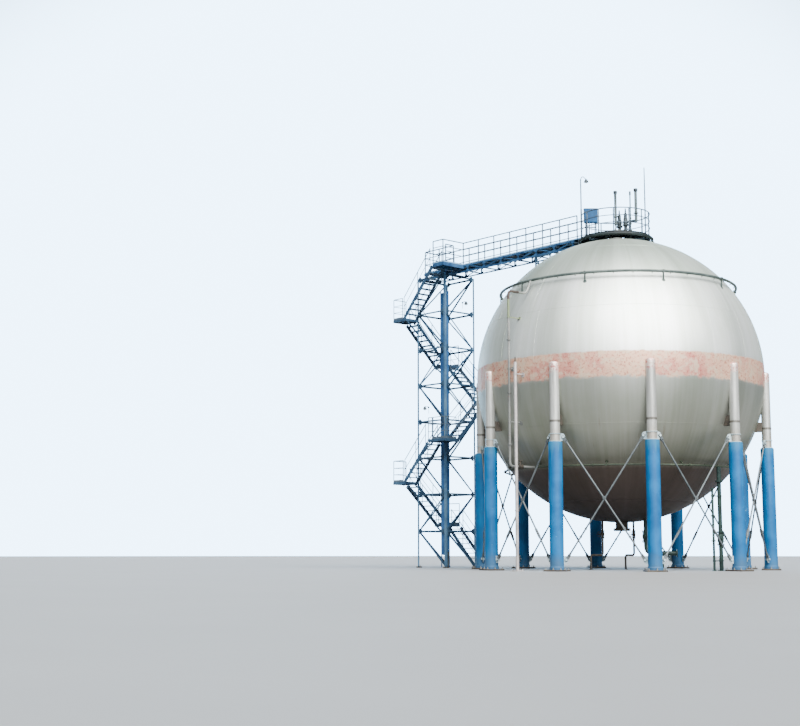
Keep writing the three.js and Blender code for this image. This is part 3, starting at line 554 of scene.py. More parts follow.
def piece(name, bm, finish, nodes, bevel=0.0, smooth=32, weld=False):
    """Makes the object of a bmesh, hangs it under the root body and hides the model's parts that
    it stands for.
    """
    if weld:
        bmesh.ops.remove_doubles(bm, verts=bm.verts, dist=1e-5)
    bmesh.ops.recalc_face_normals(bm, faces=bm.faces)
    mesh = bpy.data.meshes.new(name)
    bm.to_mesh(mesh)
    bm.free()
    mesh.materials.append(finish)
    mesh.polygons.foreach_set("use_smooth", [True] * len(mesh.polygons))
    mesh.set_sharp_from_angle(angle=math.radians(smooth))
    obj = bpy.data.objects.new(name, mesh)
    bpy.context.scene.collection.objects.link(obj)
    if bevel:
        mod = obj.modifiers.new("edges", "BEVEL")
        mod.width, mod.segments, mod.limit_method = bevel, 1, "ANGLE"
        mod.angle_limit = math.radians(40)
    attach(obj, "root")
    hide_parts(*nodes)


# Camera, light and floor

SKY_SOFT = (0.31, 0.37, 0.43, 1)
SKY_BRIGHT = (4.6, 7.0, 9.6, 1)
# The sky is soft all round and bright in the direction that the camera looks in
SKY_BRIGHT_FROM, SKY_BRIGHT_TO = 0.84, 0.918
# Each light's name, direction, height, power and spread
LIGHTS = (("key", -24, 47, 15.0, 62), ("fill", -95, 30, 0.35, 70))
EYE = (41.314, -46.153, 0.777)
AHEAD = Vector((-0.753, 0.658, 0)).normalized()
TILT = 7.844
LENS_MM, SENSOR_MM = 61.55, 36.0
FLOOR_R = 180
FLOOR_PALE = ((0.18, 0.18, 0.176, 1), (0.205, 0.205, 0.20, 1))


def raised(level, deg):
    """A level direction tilted up by an angle."""
    return level * math.cos(math.radians(deg)) + UP * math.sin(math.radians(deg))


def placed(name, data, way, axis):
    """An object of the stage, turned so that its own axis lies along the direction way."""
    obj = bpy.data.objects.new(name, data)
    bpy.context.scene.collection.objects.link(obj)
    obj.rotation_mode = "QUATERNION"
    obj.rotation_quaternion = way.to_track_quat(axis, "Y")
    return obj


def camera():
    data = bpy.data.cameras.new("camera")
    data.lens, data.sensor_width, data.clip_end = LENS_MM, SENSOR_MM, 400
    cam = placed("camera", data, raised(AHEAD, TILT), "-Z")
    cam.location = EYE
    bpy.context.scene.camera = cam


def sky():
    world = bpy.data.worlds.new("sky")
    world.use_nodes = True
    nodes, links = world.node_tree.nodes, world.node_tree.links
    coord = nodes.new("ShaderNodeTexCoord")
    facing = nodes.new("ShaderNodeVectorMath")
    facing.operation = "DOT_PRODUCT"
    facing.inputs[1].default_value = AHEAD
    links.new(coord.outputs["Generated"], facing.inputs[0])
    bright = nodes.new("ShaderNodeMapRange")
    bright.interpolation_type = "SMOOTHSTEP"
    bright.inputs["From Min"].default_value = SKY_BRIGHT_FROM
    bright.inputs["From Max"].default_value = SKY_BRIGHT_TO
    links.new(facing.outputs["Value"], bright.inputs["Value"])
    colour = nodes.new("ShaderNodeMix")
    colour.data_type = "RGBA"
    colour.inputs[6].default_value, colour.inputs[7].default_value = SKY_SOFT, SKY_BRIGHT
    links.new(bright.outputs[0], colour.inputs[0])
    links.new(colour.outputs[2], nodes["Background"].inputs["Color"])
    bpy.context.scene.world = world


def lights():
    for name, deg, rise, power, spread in LIGHTS:
        sun = bpy.data.lights.new(name, "SUN")
        sun.energy, sun.angle = power, math.radians(spread)
        placed(name, sun, raised(turn(deg), rise), "Z")


def floor_disc():
    bm = bmesh.new()
    bmesh.ops.create_circle(bm, cap_ends=True, segments=96, radius=FLOOR_R,
                            matrix=Matrix.Translation((0, 0, -0.001)))
    mesh = bpy.data.meshes.new("floor")
    bm.to_mesh(mesh)
    bm.free()
    f = Finish("floor_pale")
    mesh.materials.append(f.done(f.mix(f.noise(0.3, 4.0), *FLOOR_PALE), 0.8))
    floor = bpy.data.objects.new("floor", mesh)
    bpy.context.scene.collection.objects.link(floor)


# Shell

# The latitudes of the level joints at the caps and at the belt
CAP_LAT, BELT_LAT = 60, 22.5
CAP_R = SHELL_R * math.cos(math.radians(CAP_LAT))


def shell_point(r, lat):
    """Radius and height of a latitude on a sphere."""
    a = math.radians(lat)
    return (r * math.cos(a), r * math.sin(a))


def shell_zone(name, low, high, finish):
    """One zone of the hollow shell between two latitudes, with level joints."""
    inner_r = SHELL_R - SHELL_WALL

    def inner_lat(lat):
        """The latitude at the same height on the inside; a pole stays a pole."""
        if abs(lat) == 90:
            return lat
        return math.degrees(math.asin(SHELL_R * math.sin(math.radians(lat)) / inner_r))

    count = round((high - low) / 1.5)
    outer = [shell_point(SHELL_R, low + (high - low) * i / count) for i in range(count + 1)]
    top, bottom = inner_lat(high), inner_lat(low)
    inner = [shell_point(inner_r, top + (bottom - top) * i / 6) for i in range(7)]
    outline = outer + inner
    if high == 90:
        outer[-1], inner[0] = (0.0, SHELL_R), (0.0, inner_r)
        outline = inner + outer
    elif low == -90:
        outer[0], inner[-1] = (0.0, -SHELL_R), (0.0, -inner_r)
        outline = outer + inner
    bm = bmesh.new()
    spun(bm, outline, TANK, 144)
    piece(name, bm, finish, [name], weld=True)


def upright_beads(bm, count, low, high, first):
    """Beads between two latitudes, evenly round the tank."""
    for k in range(count):
        deg = first + 360 * k / count
        r, z = shell_point(SHELL_R, low)
        bead(bm, around(r, deg, TANK.z + z), TANK, turn(deg).cross(UP), high - low, 0.009)


def cap_beads(bm):
    """Two straight joints across each cap, between its three plates."""
    side, way = turn(40), turn(130)
    for s in (-1, 1):
        for flat in (-1.15, 1.15):
            r = math.sqrt(SHELL_R ** 2 - flat ** 2)
            half = math.asin(math.sqrt(CAP_R ** 2 - flat ** 2) / r)
            c = TANK + side * flat
            start = c + (way * math.sin(half) + UP * s * math.cos(half)) * r
            bead(bm, start, c, side * s, 2 * s * math.degrees(half), 0.011)


def seams():
    """Weld beads: level ones between the zones, upright ones between the plates."""
    bm = bmesh.new()
    for lat in (-CAP_LAT, -BELT_LAT, BELT_LAT, CAP_LAT):
        r, z = shell_point(SHELL_R, lat)
        hoop(bm, r, TANK.z + z, 0.005, 6, 144)
    upright_beads(bm, 16, BELT_LAT, CAP_LAT, 2.0)
    upright_beads(bm, 16, -CAP_LAT, -BELT_LAT, 2.0)
    cap_beads(bm)
    piece("shell_weld_seams", bm, SHELL, [])
    bm = bmesh.new()
    upright_beads(bm, 20, -BELT_LAT, BELT_LAT, 6.3)
    piece("belt_weld_seams", bm, BELT, [])


def shell():
    shell_zone("shell_bottom_cap", -90, -CAP_LAT, SHELL)
    shell_zone("shell_lower_zone", -CAP_LAT, -BELT_LAT, SHELL)
    shell_zone("shell_equator_belt", -BELT_LAT, BELT_LAT, BELT)
    shell_zone("shell_upper_zone", BELT_LAT, CAP_LAT, SHELL)
    shell_zone("shell_top_cap", CAP_LAT, 90, SHELL)
    seams()


# Columns and tie rods

COLUMNS = 10
COLUMN_CIRCLE = 6.17
PLATE_TOP, SLEEVE_TOP, TUBE_TOP = 0.06, 5.10, 8.34
SLEEVE_R, TUBE_R = 0.28, 0.20
# The angle between a column's ears and its outward side, and the upper and lower
# ears' heights and the distances of their pins from the column's middle
EAR_TURN = 108
EARS = ((5.275, 0.33), (0.45, 0.38))


def column_turn(k):
    """The direction of a column from the tank's axis, in degrees."""
    return -2.7 + 36 * k


def ear_plate(bm, foot, deg, z, out):
    """A plate that stands out from the column and is rounded about its pin."""
    way = turn(deg)
    side = UP.cross(way)
    half, thick, nose = 0.15, 0.03, 0.12
    outline = [(0.10, -half)]
    for i in range(7):
        a = math.radians(-90 + 30 * i)
        outline.append((out - 0.05 + nose * math.cos(a), half * math.sin(a)))
    outline.append((0.10, half))
    a = lift(foot, z) - side * thick / 2
    section(bm, a, a + side * thick, outline, way, UP)
    pin = lift(foot, z) + way * out
    tube(bm, pin - side * 0.075, pin + side * 0.075, 0.038, 12)
    for s in (-1, 1):
        tube(bm, pin + side * s * 0.066, pin + side * s * 0.082, 0.052, 6)


def column_foot(name, foot, out, side):
    """The foot plate with eight anchor bolts round its edge."""
    half, bolt_out, low = 0.4, 0.33, PLATE_TOP - 0.002
    bm = bmesh.new()
    mid = foot + UP * PLATE_TOP / 2
    beam(bm, mid - out * half, mid + out * half, 2 * half, PLATE_TOP)
    piece(name + "_plate", bm, IRON, [name], bevel=0.008)
    bm = bmesh.new()
    for a in (-1, 0, 1):
        for b in (-1, 0, 1):
            if a or b:
                p = foot + (out * a + side * b) * bolt_out
                upright(bm, p, low, PLATE_TOP + 0.036, 0.034, 6)
                upright(bm, p, low, PLATE_TOP + 0.080, 0.018, 8)
    piece(name + "_anchor_bolts", bm, ZINC, [])


def column_shaft(name, foot):
    """The sleeve with its skirt and round shoulder, and the tube with its joint and dome."""
    low = PLATE_TOP - 0.002
    bm = bmesh.new()
    spun(bm, [(0, low), (SLEEVE_R + 0.02, low), (SLEEVE_R + 0.02, 0.16), (SLEEVE_R, 0.19),
              (SLEEVE_R, SLEEVE_TOP - 0.045), (SLEEVE_R - 0.008, SLEEVE_TOP - 0.015),
              (SLEEVE_R - 0.035, SLEEVE_TOP), (0, SLEEVE_TOP)], foot, 40)
    piece(name + "_sleeve", bm, SLEEVE, [], weld=True)

    r, rib, groove = TUBE_R, TUBE_R + 0.014, TUBE_R + 0.003
    joint, top, rise = TUBE_JOINT_Z, TUBE_TOP, 0.105
    dome = [(r * math.cos(math.radians(a)), top - rise + rise * math.sin(math.radians(a)))
            for a in range(0, 90, 15)]
    bm = bmesh.new()
    spun(bm, [(0, SLEEVE_TOP - 0.02), (r, SLEEVE_TOP - 0.02),
              (r, joint - 0.035), (rib, joint - 0.030), (rib, joint - 0.005),
              (groove, joint - 0.003), (groove, joint + 0.007),
              (rib, joint + 0.010), (rib, joint + 0.035), (r, joint + 0.040),
              (r, top - 0.24), (r + 0.007, top - 0.235), (r + 0.007, top - 0.22),
              (r, top - 0.215), *dome, (0, top)], foot, 40)
    piece(name + "_tube", bm, TUBE, [], weld=True, smooth=40)


def column_bracket(name, foot, deg, side):
    """The dark line in the tube's joint, and the two shelves and three webs to the shell."""
    bm = bmesh.new()
    r, low, high = TUBE_R + 0.0075, TUBE_JOINT_Z - 0.004, TUBE_JOINT_Z + 0.008
    spun(bm, [(0, low), (r, low), (r, high), (0, high)], foot, 32)
    near, web_far, web_z = COLUMN_CIRCLE - 0.17, 5.70, 5.99
    for z, far in ((5.80, 5.66), (6.18, 5.74)):
        beam(bm, around(near, deg, z), around(far, deg, z), 0.26, 0.02)
    for s in (-0.12, 0, 0.12):
        a, b = around(near, deg, web_z) + side * s, around(web_far, deg, web_z) + side * s
        beam(bm, a, b, 0.016, 0.38)
    piece(name + "_bracket", bm, IRON, [])


def column_ears(name, foot, deg):
    """The four ears for the tie rods, and the two collars round the upper pair."""
    bm = bmesh.new()
    for turned in (deg + EAR_TURN, deg - EAR_TURN):
        for z, reach in EARS:
            ear_plate(bm, foot, turned, z, reach)
    r, half = 0.235, 0.012
    for z in (5.115, 5.415):
        spun(bm, [(0, z - half), (r, z - half), (r, z + half), (0, z + half)], foot, 32)
    piece(name + "_ears", bm, EAR_PALE, [], bevel=0.003)


def column(k):
    name = f"column_{k + 1:02d}"
    deg = column_turn(k)
    foot = around(COLUMN_CIRCLE, deg)
    side = turn(deg + 90)
    column_foot(name, foot, turn(deg), side)
    column_shaft(name, foot)
    column_bracket(name, foot, deg, side)
    column_ears(name, foot, deg)


def clevis(bm, pin, way, side):
    """A fork over an ear: two cheeks, a root and the thread that enters it."""
    for s in (-1, 1):
        a = pin - way * 0.06 + side * s * 0.034
        beam(bm, a, a + way * 0.27, 0.020, 0.11, side.cross(way))
    root = pin + way * 0.17
    beam(bm, root, root + way * 0.07, 0.088, 0.10, side.cross(way))
    tube(bm, root + way * 0.06, root + way * 0.16, 0.048, 16, 0.036)


def tie_rods(k):
    """Two crossing rods with a turnbuckle each, and the plates where they cross."""
    a, b = around(COLUMN_CIRCLE, column_turn(k)), around(COLUMN_CIRCLE, column_turn(k + 1))
    way = (b - a).normalized()
    out = way.cross(UP)
    (high_z, high_out), (low_z, low_out) = EARS
    bm = bmesh.new()
    for low, high, go in ((a, b, way), (b, a, -way)):
        p = lift(low + go * low_out, low_z)
        q = lift(high - go * high_out, high_z)
        up = (q - p).normalized()
        clevis(bm, p, up, out)
        clevis(bm, q, -up, out)
        tube(bm, p + up * 0.2, q - up * 0.2, 0.034, 20)
        turnbuckle = p + up * 1.25
        for e in (-1, 1):
            tube(bm, turnbuckle + up * e * 0.16, turnbuckle + up * e * 0.22, 0.050, 6)
            bar = turnbuckle + out * e * 0.042
            beam(bm, bar - up * 0.17, bar + up * 0.17, 0.02, 0.05, out.cross(up))
    mid = lift((a + b) / 2, (high_z + low_z) / 2)
    for s in (-1, 1):
        tube(bm, mid + out * s * 0.034, mid + out * s * 0.046, 0.068, 24)
        tube(bm, mid + out * s * 0.045, mid + out * s * 0.062, 0.024, 6)
    name = f"tie_rods_{k + 1:02d}"
    piece(name, bm, ROD, [name])


# Rings, risers and pipes

NOZZLES = 40


def on_shell(x, y):
    """The point of the shell's upper half above x and y."""
    return Vector((x, y, TANK.z + math.sqrt(SHELL_R ** 2 - (x - TANK.x) ** 2
                                            - (y - TANK.y) ** 2)))


def shell_pad(bm, p, r, above=0.02, sides=20):
    """A round pad on the shell under a leg or a stay."""
    n = (p - TANK).normalized()
    tube(bm, p - n * 0.02, p + n * above, r, sides)


def spray_ring(name, radius, z, r, leg, first, legs_down, joints, finish):
    """A ring pipe on ten legs, with saddles, nozzles and bolted joints."""
    bm = bmesh.new()
    hoop(bm, radius, z, r, 14, 180)
    for k in range(10):
        deg = first + 36 * k
        p = around(radius, deg, z)
        if legs_down:
            q = on_shell(p.x, p.y) - UP * 0.01
        else:
            q = p + (TANK - p).normalized() * ((TANK - p).length - SHELL_R + 0.01)
        beam(bm, p, q, leg, leg * 1.3)
        shell_pad(bm, q, leg * 1.9, above=0.022)
        side = turn(deg + 90)
        beam(bm, p - side * 0.035, p + side * 0.035, r * 2.25, r * 2.25)
    for k in range(NOZZLES):
        p = around(radius, first + 4 + 360 * k / NOZZLES, z)
        way = (TANK - p).normalized()
        tube(bm, p + way * r * 0.8, p + way * (r + 0.045), 0.014, 8)
        tube(bm, p + way * (r + 0.04), p + way * (r + 0.075), 0.022, 8, 0.012)
    for k in range(joints):
        deg = first + 12 + 360 * k / joints
        p, side = around(radius, deg, z), turn(deg + 90)
        flanges(bm, p, side, r * 1.75, 0.018, 0.004, 8, 0.010)
    piece(name, bm, finish, [name])


def foot_plate(bm, p, size):
    """A square plate on the floor with four anchor bolts."""
    slab(bm, (p.x - size / 2, p.y - size / 2, 0), (p.x + size / 2, p.y + size / 2, 0.03))
    for x in (-1, 1):
        for y in (-1, 1):
            q = p + Vector((x, y, 0)) * size * 0.39
            upright(bm, q, 0.028, 0.052, 0.022, 6)
            upright(bm, q, 0.028, 0.078, 0.012, 8)


def stay(bm, deg, out, z, pipe_r):
    """A stay from the shell with a clamp round the pipe."""
    wide, side = 0.05, turn(deg + 90)
    shell_r = math.sqrt(SHELL_R ** 2 - (z - TANK.z) ** 2)
    a, b = around(shell_r - 0.01, deg, z), around(out, deg, z)
    angle(bm, a - side * wide / 2, b - side * wide / 2, side, UP, wide, 0.006)
    tube(bm, b - UP * 0.03, b + UP * 0.03, pipe_r + 0.008, 20)
    beam(bm, b - side * (pipe_r + 0.05), b + side * (pipe_r + 0.05), 0.05, 0.012, turn(deg))
    shell_pad(bm, a, 0.10)


def ring_riser():
    """The pipe from the lower to the upper ring, with its stays, valve and rusty elbow."""
    deg, out, r, bend = -94.1, 6.4, 0.05, 0.18
    low, elbow_z = 4.21, 11.45
    line = [around(5.06, deg, low), around(out, deg, low), around(out, deg, elbow_z),
            around(5.42, deg, elbow_z), around(5.14, deg, 12.0)]
    bm = bmesh.new()
    swept(bm, line, r, 16, bend)
    for z in (6.0, 8.2, 10.325):
        stay(bm, deg, out, z, r)
    for z in (5.1, 7.2, 9.4):
        flanges(bm, around(out, deg, z), UP, 0.088, 0.02, 0.005, 8, 0.011)
    piece("ring_riser", bm, RISER, ["ring_riser"])

    bm = bmesh.new()
    at, way = around(5.85, deg, low), turn(deg)
    for s in (-0.10, 0.10):
        flanges(bm, at + way * s, way, 0.095, 0.016, 0.004, 8, 0.011)
    tube(bm, at - way * 0.08, at + way * 0.08, 0.072, 20)
    tube(bm, at, at + UP * 0.20, 0.03, 12)
    wheel(bm, at + UP * 0.24, UP, 0.10, 0.010)
    tube(bm, at + UP * 0.19, at + UP * 0.25, 0.012, 8)
    piece("riser_valve", bm, IRON, [])

    bm = bmesh.new()
    elbow = [around(out, deg, 11.10), around(out, deg, elbow_z), around(5.85, deg, elbow_z)]
    swept(bm, elbow, r + 0.004, 16, bend)
    piece("riser_elbow", bm, RUSTY, [])


def riser_pole():
    """The pale pole beside the riser, on a foot plate of its own."""
    deg, out, r = -88.8, 6.64, 0.065
    foot = around(out, deg)
    bm = bmesh.new()
    spun(bm, [(0, 0.03), (r, 0.03), (r, 8.36), (0.058, 8.395), (0.03, 8.40), (0, 8.40)], foot, 24)
    foot_plate(bm, foot, 0.35)
    stay(bm, deg, out, 7.9, r)
    for z in (2.4, 5.2):
        upright(bm, foot, z - 0.03, z + 0.03, 0.076, 24)
    piece("riser_pole", bm, POLE, ["riser_pole"], weld=True)
    bm = bmesh.new()
    spun(bm, [(0, 8.385), (0.028, 8.385), (0.030, 8.56), (0.022, 8.595), (0, 8.60)], foot, 16)
    piece("riser_pole_tip", bm, IRON, [], weld=True)


def feed_pipes():
    """The two upright pipes under the lower ring, with their clamps, flanges and valve."""
    bm = bmesh.new()
    main, small = around(5.03, 1.1), around(5.03, -4.1)
    upright(bm, main, 0, 4.187, 0.085, 24)
    upright(bm, small, 0, 3.31, 0.05, 16)
    upright(bm, small, 3.27, 3.31, 0.066, 16)
    for z in (0.4, 3.0):
        beam(bm, lift(main, z), lift(small, z), 0.04)
        upright(bm, main, z - 0.03, z + 0.03, 0.098, 20)
        upright(bm, small, z - 0.03, z + 0.03, 0.062, 20)
    upright(bm, main, 0, 0.025, 0.16, 24)
    upright(bm, small, 0, 0.025, 0.10, 24)
    for z in (1.05, 1.55, 3.6):
        flanges(bm, lift(main, z), UP, 0.15, 0.022, 0.005, 8, 0.014)
    for z in (1.2, 2.2):
        flanges(bm, lift(small, z), UP, 0.092, 0.016, 0.004, 8, 0.010)
    spun(bm, [(0, 1.08), (0.09, 1.08), (0.125, 1.16), (0.132, 1.28), (0.125, 1.42), (0.09, 1.52),
              (0, 1.52)], main, 24)
    valve, out = lift(main, 1.3), turn(-41)
    tube(bm, valve, valve + out * 0.30, 0.035, 12)
    wheel(bm, valve + out * 0.31, out, 0.15)
    tube(bm, valve + out * 0.29, valve + out * 0.33, 0.02, 10)
    piece("lower_ring_feed", bm, DARK_GREEN, ["lower_ring_feed"])


def bottom_manhole():
    """The neck and the bolted cover at the lowest point of the shell."""
    at = lift(TANK, 0)
    bm = bmesh.new()
    spun(bm, [(0, 1.70), (0.27, 1.70), (0.27, 2.035), (0, 2.035)], at, 40)
    spun(bm, [(0, 1.705), (0.365, 1.705), (0.37, 1.71), (0.37, 1.745), (0.365, 1.75),
              (0, 1.75)], at, 48)
    spun(bm, [(0, 1.65), (0.30, 1.65), (0.32, 1.665), (0.365, 1.667), (0.37, 1.672),
              (0.37, 1.692), (0.365, 1.697), (0, 1.697)], at, 48)
    bolts(bm, lift(at, 1.75), UP, 0.325, 20, 0.022, 0.02)
    bolts(bm, lift(at, 1.667), -UP, 0.325, 20, 0.022, 0.02)
    piece("bottom_manhole", bm, IRON, ["bottom_manhole"])


def bottom_outlet():
    """The outlet pipe with its valve, its end flange and the post that carries it."""
    p, q, low = beside(0.9, 0.5), beside(1.8, 1.4), 0.70
    way = (q - p).normalized()
    side = way.cross(UP)
    bm = bmesh.new()
    swept(bm, [lift(p, 2.34), lift(p, low), lift(q, low)], 0.10, 24, 0.30)
    for z in (1.62, 1.20):
        flanges(bm, lift(p, z), UP, 0.17, 0.03, 0.006, 12, 0.016)
    spun(bm, [(0, 1.24), (0.12, 1.24), (0.155, 1.34), (0.165, 1.42), (0.155, 1.50),
              (0.12, 1.59), (0, 1.59)], p, 32)
    valve = lift(p, 1.41)
    tube(bm, valve, valve + side * 0.34, 0.06, 20)
    tube(bm, valve + side * 0.20, valve + side * 0.23, 0.11, 24)
    wheel(bm, valve + side * 0.40, side, 0.19, 0.014)
    tube(bm, valve + side * 0.33, valve + side * 0.40, 0.018, 10)
    end = lift(q, low)
    tube(bm, end, end + way * 0.03, 0.17, 28)
    bolts(bm, end + way * 0.03, way, 0.14, 12, 0.016, 0.012)
    post = beside(1.35, 0.95)
    slab(bm, (post.x - 0.07, post.y - 0.07, 0.02), (post.x + 0.07, post.y + 0.07, 0.61))
    foot_plate(bm, post, 0.30)
    saddle = lift(post, 0.60)
    beam(bm, saddle - side * 0.13, saddle + side * 0.13, 0.12, 0.02)
    piece("bottom_outlet", bm, DARK_GREEN, ["bottom_outlet"])


def drain_pipe(top, end):
    """A small pipe from the bottom cap with a valve, bent level near the floor."""
    way, low = (end - top).normalized(), 0.62
    bm = bmesh.new()
    swept(bm, [lift(top, 2.10), lift(top, low), lift(end, low), lift(end, 0.02)], 0.045, 16, 0.14)
    for z in (1.66, 1.36):
        flanges(bm, lift(top, z), UP, 0.085, 0.016, 0.004, 8, 0.010)
    spun(bm, [(0, 1.37), (0.06, 1.38), (0.085, 1.51), (0.06, 1.64), (0, 1.65)], top, 20)
    valve = lift(top, 1.51)
    tube(bm, valve, valve + way * 0.24, 0.026, 12)
    wheel(bm, valve + way * 0.25, way, 0.11, 0.010)
    upright(bm, end, 0, 0.02, 0.10, 20)
    piece("drain_pipe", bm, IRON, [])


# Crown

# Each relief valve's place, its vent's place, the vent's top and radius
VALVES = (("left", (-0.361, 0.727), (-0.458, 0.591), 16.915, 0.060),
          ("right", (0.051, 0.653), (0.576, 0.751), 16.85, 0.065))
GAUGE = (0.159, 0.867)
PLATFORM_R = 1.53
PLATFORM_HOLE_R = 0.47
# The level direction along which the box, the lamp and the rod are lined up
CROWN_SIDE = 48.85


def platform():
    """The round plate, its rim with eight arms and posts, and the pipe round it."""
    at = lift(TANK, 0)
    r, hole, z = PLATFORM_R, PLATFORM_HOLE_R, PLATFORM_Z
    bm = bmesh.new()
    spun(bm, [(hole, z - 0.012), (r - 0.01, z - 0.012), (r - 0.01, z), (hole, z)], at, 96)
    piece("top_platform_plate", bm, DECK, ["top_platform_deck"], weld=True)

    # The rim's finish is dark green darkened as painted shade of the deck's shadow
    bm = bmesh.new()
    spun(bm, [(r - 0.05, z - 0.12), (r, z - 0.12), (r, z - 0.001), (r - 0.006, z - 0.001),
              (r - 0.006, z - 0.112), (r - 0.05, z - 0.112)], at, 96)
    spun(bm, [(hole, z - 0.08), (hole + 0.006, z - 0.08), (hole + 0.006, z + 0.05),
              (hole, z + 0.05)], at, 64)
    post_r = 1.38
    for k in range(8):
        deg = 22.5 + 45 * k
        a, b = around(hole + 0.01, deg, z - 0.052), around(r - 0.01, deg, z - 0.052)
        channel(bm, a, b, turn(deg + 90), UP, 0.08, 0.04, 0.005)
        post = around(post_r, deg)
        upright(bm, post, 14.20, z - 0.02, 0.045, 20)
        shell_pad(bm, on_shell(post.x, post.y), 0.11, sides=24)
    piece("top_platform_rim", bm, RIM_GREEN_AND_SHADE, [])

    bm = bmesh.new()
    hook = [around(1.60, -165 + 5 * i, z - 0.14) for i in range(44)]
    hook += [around(1.67, 53.5, z - 0.15), around(1.74, 56, z - 0.19), around(1.78, 57, z - 0.26),
             around(1.76, 57.5, z - 0.33), around(1.68, 58, z - 0.37)]
    swept(bm, hook, 0.065, 14)
    for k in range(8):
        deg = -158 + 30 * k
        beam(bm, around(1.40, deg, z - 0.125), around(1.60, deg, z - 0.125), 0.04, 0.012)
    piece("platform_ring_pipe", bm, RIM_GREEN_AND_SHADE, [])


def round_railing():
    """The railing round the platform, open where the bridge comes in."""
    first, last, count, smooth = -131, 181, 12, 72
    bm = bmesh.new()

    def p(i, h):
        return around(PLATFORM_R - 0.03, first + (last - first) * i / count, PLATFORM_Z + h)

    for i in range(count + 1):
        tube(bm, p(i, -0.10), p(i, 1.045), 0.028, 14)
        tube(bm, p(i, 0.0), p(i, 0.012), 0.05, 14)
    for h, r in ((1.029, 0.026), (0.70, 0.020), (0.38, 0.020)):
        swept(bm, [p(i * count / smooth, h) for i in range(smooth + 1)], r, 12)
    piece("top_platform_railing", bm, RAIL_GREY, ["top_platform_railing"])


def top_manhole():
    """The neck, the bolted cover and the cover's handle."""
    at = lift(TANK, 0)
    bm = bmesh.new()
    spun(bm, [(0, 14.36), (0.30, 14.36), (0.30, 14.79), (0, 14.79)], at, 48)
    spun(bm, [(0, 14.742), (0.385, 14.742), (0.39, 14.747), (0.39, 14.793), (0.385, 14.798),
              (0, 14.798)], at, 56)
    spun(bm, [(0, 14.802), (0.385, 14.802), (0.39, 14.807), (0.39, 14.853), (0.385, 14.858),
              (0.27, 14.862), (0.22, 14.88), (0.12, 14.893), (0, 14.897)], at, 56)
    bolts(bm, lift(at, 14.858), UP, 0.345, 24, 0.02, 0.02)
    bolts(bm, lift(at, 14.742), -UP, 0.345, 24, 0.02, 0.02)
    rim, out = lift(at, 14.80), turn(200)
    handle = [rim + out * 0.36, rim + out * 0.46, rim + out * 0.46 + UP * 0.05]
    swept(bm, handle, 0.02, 10, 0.03)
    piece("top_manhole", bm, FLANGE, ["top_manhole"])


def relief_valve(side, foot, vent, top, vent_r):
    """A flanged valve with its spring bonnet, and the upright vent beside it."""
    name = "relief_valve_" + side
    p, v = beside(*foot), beside(*vent)
    low = on_shell(p.x, p.y).z - 0.02
    bm = bmesh.new()
    spun(bm, [(0, low), (0.11, low), (0.08, low + 0.05), (0.08, 15.24), (0, 15.24)], p, 32)
    for z, thick in ((15.26, 0.028), (14.92, 0.024)):
        flanges(bm, lift(p, z), UP, 0.14, thick, 0.004, 10, 0.014)
    spun(bm, [(0, 15.28), (0.08, 15.28), (0.104, 15.32), (0.106, 15.42), (0.098, 15.50),
              (0.075, 15.54), (0, 15.54)], p, 32)
    spun(bm, [(0, 15.52), (0.10, 15.52), (0.10, 15.55), (0.082, 15.555), (0.078, 15.60),
              (0.074, 15.76), (0.082, 15.765), (0.082, 15.78), (0.042, 15.79),
              (0.036, 15.90), (0.03, 16.02), (0, 16.03)], p, 28)
    bolts(bm, lift(p, 15.55), UP, 0.09, 8, 0.010, 0.014)
    swept(bm, [lift(p, 15.39), lift(v, 15.39)], 0.058, 20)
    piece(name, bm, VALVE_GREY, [name])
    bm = bmesh.new()
    spun(bm, [(0, 15.315), (vent_r * 0.7, 15.32), (vent_r, 15.34), (vent_r, top - 0.14),
              (0, top - 0.14)], v, 28)
    flanges(bm, lift(v, 15.72), UP, vent_r + 0.045, 0.016, 0.004, 8, 0.009)
    piece(name + "_vent", bm, VENT_GREEN, [])
    bm = bmesh.new()
    spun(bm, [(0, top - 0.16), (vent_r + 0.004, top - 0.16), (vent_r + 0.026, top - 0.10),
              (vent_r + 0.030, top - 0.03), (vent_r + 0.016, top), (0, top)], v, 28)
    piece(name + "_cap", bm, VALVE_GREY, [])
    bm = bmesh.new()
    neck, out = lift(p, 15.08), turn(CROWN_SIDE) * (1 if side == "right" else -1)
    tube(bm, neck, neck + out * 0.16, 0.03, 12)
    wheel(bm, neck + out * 0.20, out, 0.10, 0.010)
    tube(bm, neck + out * 0.15, neck + out * 0.22, 0.012, 8)
    piece(name + "_hand_wheel", bm, IRON, [])


def gauge_pipe():
    """The upright gauge pipe with two small dials on arms."""
    g = beside(*GAUGE)
    bm = bmesh.new()
    spun(bm, [(0, 14.30), (0.032, 14.30), (0.032, 16.80), (0.026, 16.83), (0, 16.83)], g, 20)
    spun(bm, [(0, 14.90), (0.06, 14.90), (0.075, 14.93), (0.075, 15.03), (0.06, 15.06),
              (0, 15.06)], g, 24)
    upright(bm, g, 16.66, 16.82, 0.045, 16)
    way = turn(120)
    for z, r in ((15.30, 0.05), (15.55, 0.04)):
        elbow = lift(g, z) + way * 0.10
        dial = elbow + UP * 0.06
        tube(bm, lift(g, z), elbow, 0.010, 8)
        tube(bm, elbow, dial, 0.010, 8)
        tube(bm, dial - way * 0.02, dial + way * 0.02, r, 20)
    piece("gauge_pipe", bm, VENT_GREEN, ["gauge_pipe"])


